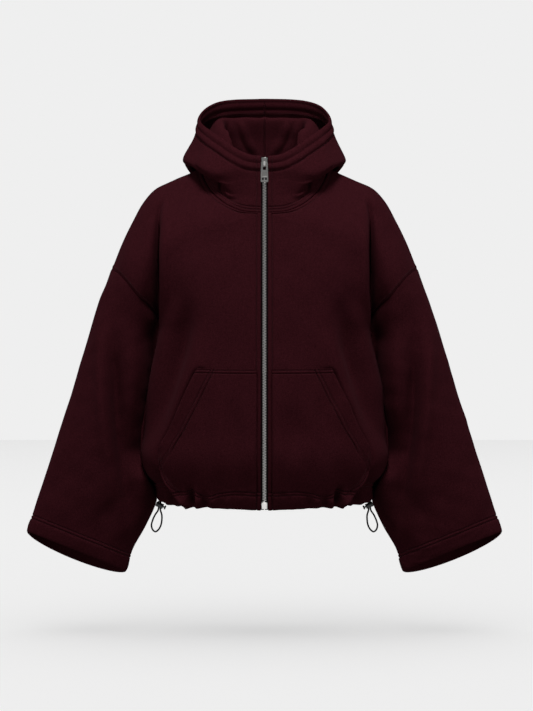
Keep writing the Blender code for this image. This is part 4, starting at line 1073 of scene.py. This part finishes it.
def zip_teeth():
    """Two rows of teeth that reach past each other in turn."""
    faces = tube_faces(len(TOOTH_LEVELS), len(TOOTH_OUTLINE))
    faces_by_side = {-1: faces, 1: [face[::-1] for face in faces]}
    middle = (CHAIN_HALF - TOOTH_REACH) / 2
    parts = []
    for i in range(int((FIRST_TOOTH - BOX_TOP) / TOOTH_PITCH * 2)):
        side = 1 if i % 2 else -1
        z = FIRST_TOOTH - (i + 0.5) * TOOTH_PITCH / 2
        y = float(body_line(True, z)) + CHAIN_FRONT
        spots = [(side * (middle + (x - middle) * (0.4 + 0.6 * size)), y + behind,
                  z + tall * TOOTH_HALF * (0.5 + 0.5 * size))
                 for behind, size in TOOTH_LEVELS for x, tall in TOOTH_OUTLINE]
        parts.append((spots, faces_by_side[side]))
    on_garment(mesh_object("zip_teeth", *joined(parts), METAL, smooth=False), "zip_metal", "zip_chain")


def zip_tape(left):
    """One side of the woven tape: the bare strip between the teeth and the front, and its reach behind."""
    heights = np.linspace(HEM + 0.001, -0.003, 130)
    outer = np.array([[(x, y + deep, z) for x, deep in TAPE_SECTION]
                      for y, z in zip(body_line(True, heights), heights)])
    inner = outer + (0.0, TAPE_THICK, 0.0)
    outer, inner = turned_over(outer, left), turned_over(inner, left)
    thing = shell(sided("tape", left), outer, inner, TAPE_FINISH, flip=left)
    on_garment(thing, "zip_tape", sided("zip_tape", left))


def block(low, high, bevel):
    """A box between two corners, with rounded edges."""
    shape = bmesh.new()
    low, high = Vector(low), Vector(high)
    size = Matrix.Diagonal((*(high - low), 1.0))
    bmesh.ops.create_cube(shape, size=1.0, matrix=Matrix.Translation((low + high) / 2) @ size)
    bmesh.ops.bevel(shape, geom=shape.edges[:], offset=bevel, segments=3, affect="EDGES")
    return shape


def from_shape(name, shape, made, sharp=50):
    """An object from a bmesh, with hard edges where its faces meet at more than the sharp angle."""
    mesh = bpy.data.meshes.new(name)
    shape.to_mesh(mesh)
    shape.free()
    mesh.shade_smooth()
    mesh.set_sharp_from_angle(angle=math.radians(sharp))
    return placed(name, mesh, made)


def zip_slider():
    """The slider's body and the three bars of its bridge."""
    line = float(body_line(True, HINGE_Z))
    face = line - SLIDER_FACE
    shape = block((-SLIDER_HALF, face, SLIDER_BOTTOM), (SLIDER_HALF, line + 0.0022, SLIDER_TOP), 0.0009)
    for vertex in shape.verts:
        share = (vertex.co.z - SLIDER_BOTTOM) / (SLIDER_TOP - SLIDER_BOTTOM)
        vertex.co.x *= 0.80 + 0.20 * smooth_step(share * 1.6)
    on_garment(from_shape("slider_body", shape, PULL_METAL), "zip_metal", "zip_slider")
    inside = face - 2 * HINGE_OUT
    bars = ((inside - 0.0012, inside, -0.0040, 0.0037), (inside, face + 0.001, -0.0040, -0.0020),
            (inside, face + 0.001, 0.0020, 0.0037))
    for i, (near, far, low, high) in enumerate(bars):
        bar = block((-BRIDGE_HALF, near, HINGE_Z + low), (BRIDGE_HALF, far, HINGE_Z + high), 0.00035)
        on_garment(from_shape(f"slider_bridge_{i}", bar, METAL), "zip_metal")


def zip_box():
    middle, half = (BOX_TOP + BOX_BOTTOM) / 2, (BOX_TOP - BOX_BOTTOM) / 2
    low, high = (float(body_line(True, middle + step)) for step in (-half, half))
    shape = block((-BOX_HALF, -0.0012, -half), (BOX_HALF, 0.0026, half), 0.0010)
    box = from_shape("bottom_box", shape, METAL)
    box.location = (0.0, (low + high) / 2, middle)
    box.rotation_euler = (math.atan2(low - high, 2 * half), 0.0, 0.0)
    on_garment(box, "zip_metal", "zip_box")


def keystone(top, half_top, bottom, half_bottom, round_top, round_bottom, middle=0.0):
    """Four corners with the radius of each, from the top left round by the right."""
    return [(middle - half_top, top, round_top), (middle + half_top, top, round_top),
            (middle + half_bottom, bottom, round_bottom), (middle - half_bottom, bottom, round_bottom)]


def ring_points(outline):
    """The given corners with each one rounded by its own radius."""
    points = []
    for i, (x, z, radius) in enumerate(outline):
        here = Vector((x, z))
        back_to = (Vector(outline[i - 1][:2]) - here).normalized() * radius
        ahead = (Vector(outline[(i + 1) % len(outline)][:2]) - here).normalized() * radius
        for share in np.linspace(0.0, 1.0, 7):
            points.append(here + back_to * (1 - share) ** 2 + ahead * share ** 2)
    return points


def add_line(curve, points, closed=False):
    line = curve.splines.new("POLY")
    line.points.add(len(points) - 1)
    for spot, point in zip(line.points, points):
        spot.co = (*point, 1.0)
    line.use_cyclic_u = closed


def pull_plate(name, outlines, thick, bevel, made, *nodes):
    """A flat plate with holes in it, that turns on the slider's bridge."""
    curve = bpy.data.curves.new(name, "CURVE")
    curve.dimensions = "2D"
    curve.fill_mode = "BOTH"
    curve.extrude = thick / 2 - bevel
    curve.bevel_depth = bevel
    curve.bevel_resolution = 2
    curve.offset = -bevel
    for outline in outlines:
        add_line(curve, [(x, z, 0.0) for x, z in ring_points(outline)], closed=True)
    thing = placed(name, curve, made)
    thing.location = (0.0, float(body_line(True, HINGE_Z)) - SLIDER_FACE - HINGE_OUT, HINGE_Z)
    thing.rotation_euler = (math.pi / 2, 0.0, 0.0)
    on_garment(thing, "zip_metal", *nodes, body="pull")


def zip_pull():
    """A flat pull with a window for the bridge, a sunk middle and two slots at its free end. The sunk middle
    is a darker metal, as painted shade in the recess, and the slots are filled with a near black plate, as
    painted shade.
    """
    top = PULL_BAR / 2
    bottom = top - PULL_LENGTH
    outline = keystone(top, PULL_WIDTH[0] / 2, bottom, PULL_WIDTH[1] / 2, 0.0015, 0.0030)
    opening = keystone(-top, 0.0031, -0.0122, 0.0029, 0.0008, 0.0020)
    panel = keystone(-0.0150, 0.0042, bottom + 0.0108, 0.0048, 0.0010, 0.0010)
    slots = [keystone(bottom + 0.0084, 0.0016, bottom + 0.0038, 0.0016, 0.0007, 0.0007, middle)
             for middle in (-0.0028, 0.0028)]
    # the thinner plate behind the frame shows as the sunk middle, in darker metal: painted shade
    pull_plate("pull_plate", [outline, opening] + slots, PULL_THICK - 0.0006, 0.0001, SHADED_RECESS_METAL, "zip_pull")
    # a thin near black plate set into the slots: painted shade
    pull_plate("pull_slot_shade", slots, 0.0004, 0.00005, SLOT_SHADE)
    pull_plate("pull_frame", [outline, opening, panel] + slots, PULL_THICK, 0.0002, PULL_METAL)


# ---------- cord locks and cords
# The barrel's grooved ends: how far from each end, and the radius there as a share of the lock's.
BARREL_TAIL = ((0.0, 0.70), (0.0004, 0.86), (0.0012, 0.97), (0.0020, 1.0), (0.0032, 1.0), (0.0035, 0.94),
               (0.0040, 0.94), (0.0043, 1.0))
BARREL_HEAD = ((0.0040, 1.0), (0.0036, 0.95), (0.0030, 0.95), (0.0026, 1.0), (0.0006, 1.0), (0.0, 0.93))


def lock_frame(side):
    """The middle of a cord lock and the way its button points."""
    centre = Vector((side * LOCK_CENTRE.x, LOCK_CENTRE.y, LOCK_CENTRE.z))
    return centre, Vector((-side * math.cos(LOCK_TILT), 0.0, -math.sin(LOCK_TILT)))


def turned(name, profile, direction, centre, made, sides=40):
    """A turned piece: its profile is (distance along the axis, radius)."""
    turn = direction.to_track_quat("Z", "Y").to_matrix()
    shape = bmesh.new()
    for along_axis, radius in profile:
        for angle in (2 * math.pi * i / sides for i in range(sides)):
            spot = Vector((radius * math.cos(angle), radius * math.sin(angle), along_axis))
            shape.verts.new(centre + turn @ spot)
    shape.verts.ensure_lookup_table()
    for face in tube_faces(len(profile), sides):
        shape.faces.new([shape.verts[i] for i in face])
    return from_shape(name, shape, made, 40)


def cord_route(side):
    """Points of the drawcord from the hem down through the lock, round the loop and back up."""
    centre, _ = lock_frame(side)
    out = list(zip(*LOOP_SIDE.values()))
    points = []
    for x, z in out + [(0.0, -LOOP_BOTTOM)] + [(-x, z) for x, z in reversed(out)]:
        lean = LOOP_LEAN * float(smooth_step(-z / LOOP_LEAN_FULL))
        points.append(centre + Vector((side * (x + lean), 0.0, z)))
    return along([tuple(point) for point in points], np.linspace(0.0, 1.0, 41))


def cord_lock(side, name):
    centre, axis = lock_frame(side)
    end = LOCK_LENGTH / 2
    barrel = ([(-end + far, LOCK_RADIUS * wide) for far, wide in BARREL_TAIL]
              + [(end - far, LOCK_RADIUS * wide) for far, wide in BARREL_HEAD])
    lock = turned("lock_barrel_" + name, barrel, axis, centre, PLASTIC)
    on_garment(lock, "cord_lock_plastic", "cord_lock_" + name)
    foot = end + BUTTON_TRAVEL + FIT
    top = foot + BUTTON_CAP
    r = BUTTON_RADIUS
    cap = [(end - 0.0010, STEM_RADIUS), (foot, STEM_RADIUS), (foot, r * 0.92), (foot + 0.0003, r),
           (top - 0.0008, r), (top - 0.0002, r * 0.90), (top, r * 0.78)]
    button = turned("lock_button_" + name, cap, axis, centre, PLASTIC)
    on_garment(button, "cord_lock_plastic", "cord_button_" + name, body="button_" + name)


def hem_cord(side, name):
    curve = bpy.data.curves.new("drawcord_" + name, "CURVE")
    curve.dimensions = "3D"
    curve.bevel_depth = CORD_RADIUS
    curve.bevel_resolution = 5
    curve.use_fill_caps = True
    route = cord_route(side)
    add_line(curve, route)
    thing = on_garment(placed("drawcord_" + name, curve, CORD_FINISH), "cord", "hem_cord_" + name)


# ---------- studio
FLOOR = -0.887
WALL_AT = 9.0
STAGE_HALF = 12.0
VIEW_FROM = (0.0038, -4.0, -0.369)
FRAME_HEIGHT = 711 / 530  # metres that the view shows at the garment
SENSOR = 24.0
PALE = 0.863              # the even tone of the floor and wall
FLOOR_PALE = 0.8
FLOOR_SUN = 0.70
ROOM_LIGHT = 0.20
LAMPS = (
    ("key_light", (0.0, -1.85, 3.10), (0.0, 0.0, -0.35), 1.0, 109.0),
    ("side_light_left", (-3.1, -1.6, -0.3), (0.0, 0.0, -0.45), 1.2, 13.0),
    ("side_light_right", (3.1, -1.6, -0.3), (0.0, 0.0, -0.45), 1.2, 13.0))


def view():
    scene = bpy.context.scene
    camera = bpy.data.cameras.new("camera")
    camera.sensor_fit = "VERTICAL"
    camera.sensor_height = SENSOR
    camera.lens = SENSOR * -VIEW_FROM[1] / FRAME_HEIGHT
    viewer = bpy.data.objects.new("camera", camera)
    viewer.location = VIEW_FROM
    viewer.rotation_euler = (math.pi / 2, 0.0, 0.0)
    scene.collection.objects.link(viewer)
    scene.camera = viewer
    scene.view_settings.view_transform = "Standard"
    scene.view_settings.look = "None"


def light(name, kind, power, receivers):
    thing = bpy.data.objects.new(name, bpy.data.lights.new(name, kind))
    thing.data.energy = power
    thing.light_linking.receiver_collection = receivers
    bpy.context.scene.collection.objects.link(thing)
    return thing


def studio():
    """A pale floor and wall, lit by the room and a sun of their own, and lamps for the garment alone."""
    alone = bpy.data.collections.new("lit_by_the_floor_light")
    spared = bpy.data.collections.new("spared_by_the_lamps")
    glow = PALE - FLOOR_PALE * (ROOM_LIGHT + FLOOR_SUN / math.pi)
    across = (-STAGE_HALF, STAGE_HALF)
    for name, corners, diffuse, own in (
            ("floor", [(x, y, FLOOR) for y in (-8.0, WALL_AT) for x in across], FLOOR_PALE, glow),
            ("wall", [(x, WALL_AT, z) for z in (FLOOR, 9.0) for x in across], 0.0, PALE)):
        thing = mesh_object(name, corners, [(0, 1, 3, 2)], stage_finish(name, diffuse, own))
        thing.visible_diffuse = False
        alone.objects.link(thing)
        spared.objects.link(thing)
    for held in spared.collection_objects:
        held.light_linking.link_state = "EXCLUDE"
    world = bpy.data.worlds.new("room")
    world.use_nodes = True
    put(world.node_tree.nodes["Background"], Color=(1.0, 1.0, 1.0, 1.0), Strength=ROOM_LIGHT)
    bpy.context.scene.world = world
    light("floor_light", "SUN", FLOOR_SUN, alone).data.angle = math.radians(70)
    for name, place, aim, size, power in LAMPS:
        lamp = light(name, "AREA", power, spared)
        lamp.data.shape = "SQUARE"
        lamp.data.size = size
        lamp.location = place
        lamp.rotation_euler = (Vector(aim) - Vector(place)).to_track_quat("-Z", "Y").to_euler()


def main():
    view()
    studio()
    for side, name in ((1, "right"), (-1, "left")):
        hem_cord(side, name)
        cord_lock(side, name)
    back()
    for left in (False, True):
        front(left)
        sleeve(left)
        hood(left)
        pocket(left)
        zip_tape(left)
    zip_teeth()
    zip_slider()
    zip_box()
    zip_pull()


main()
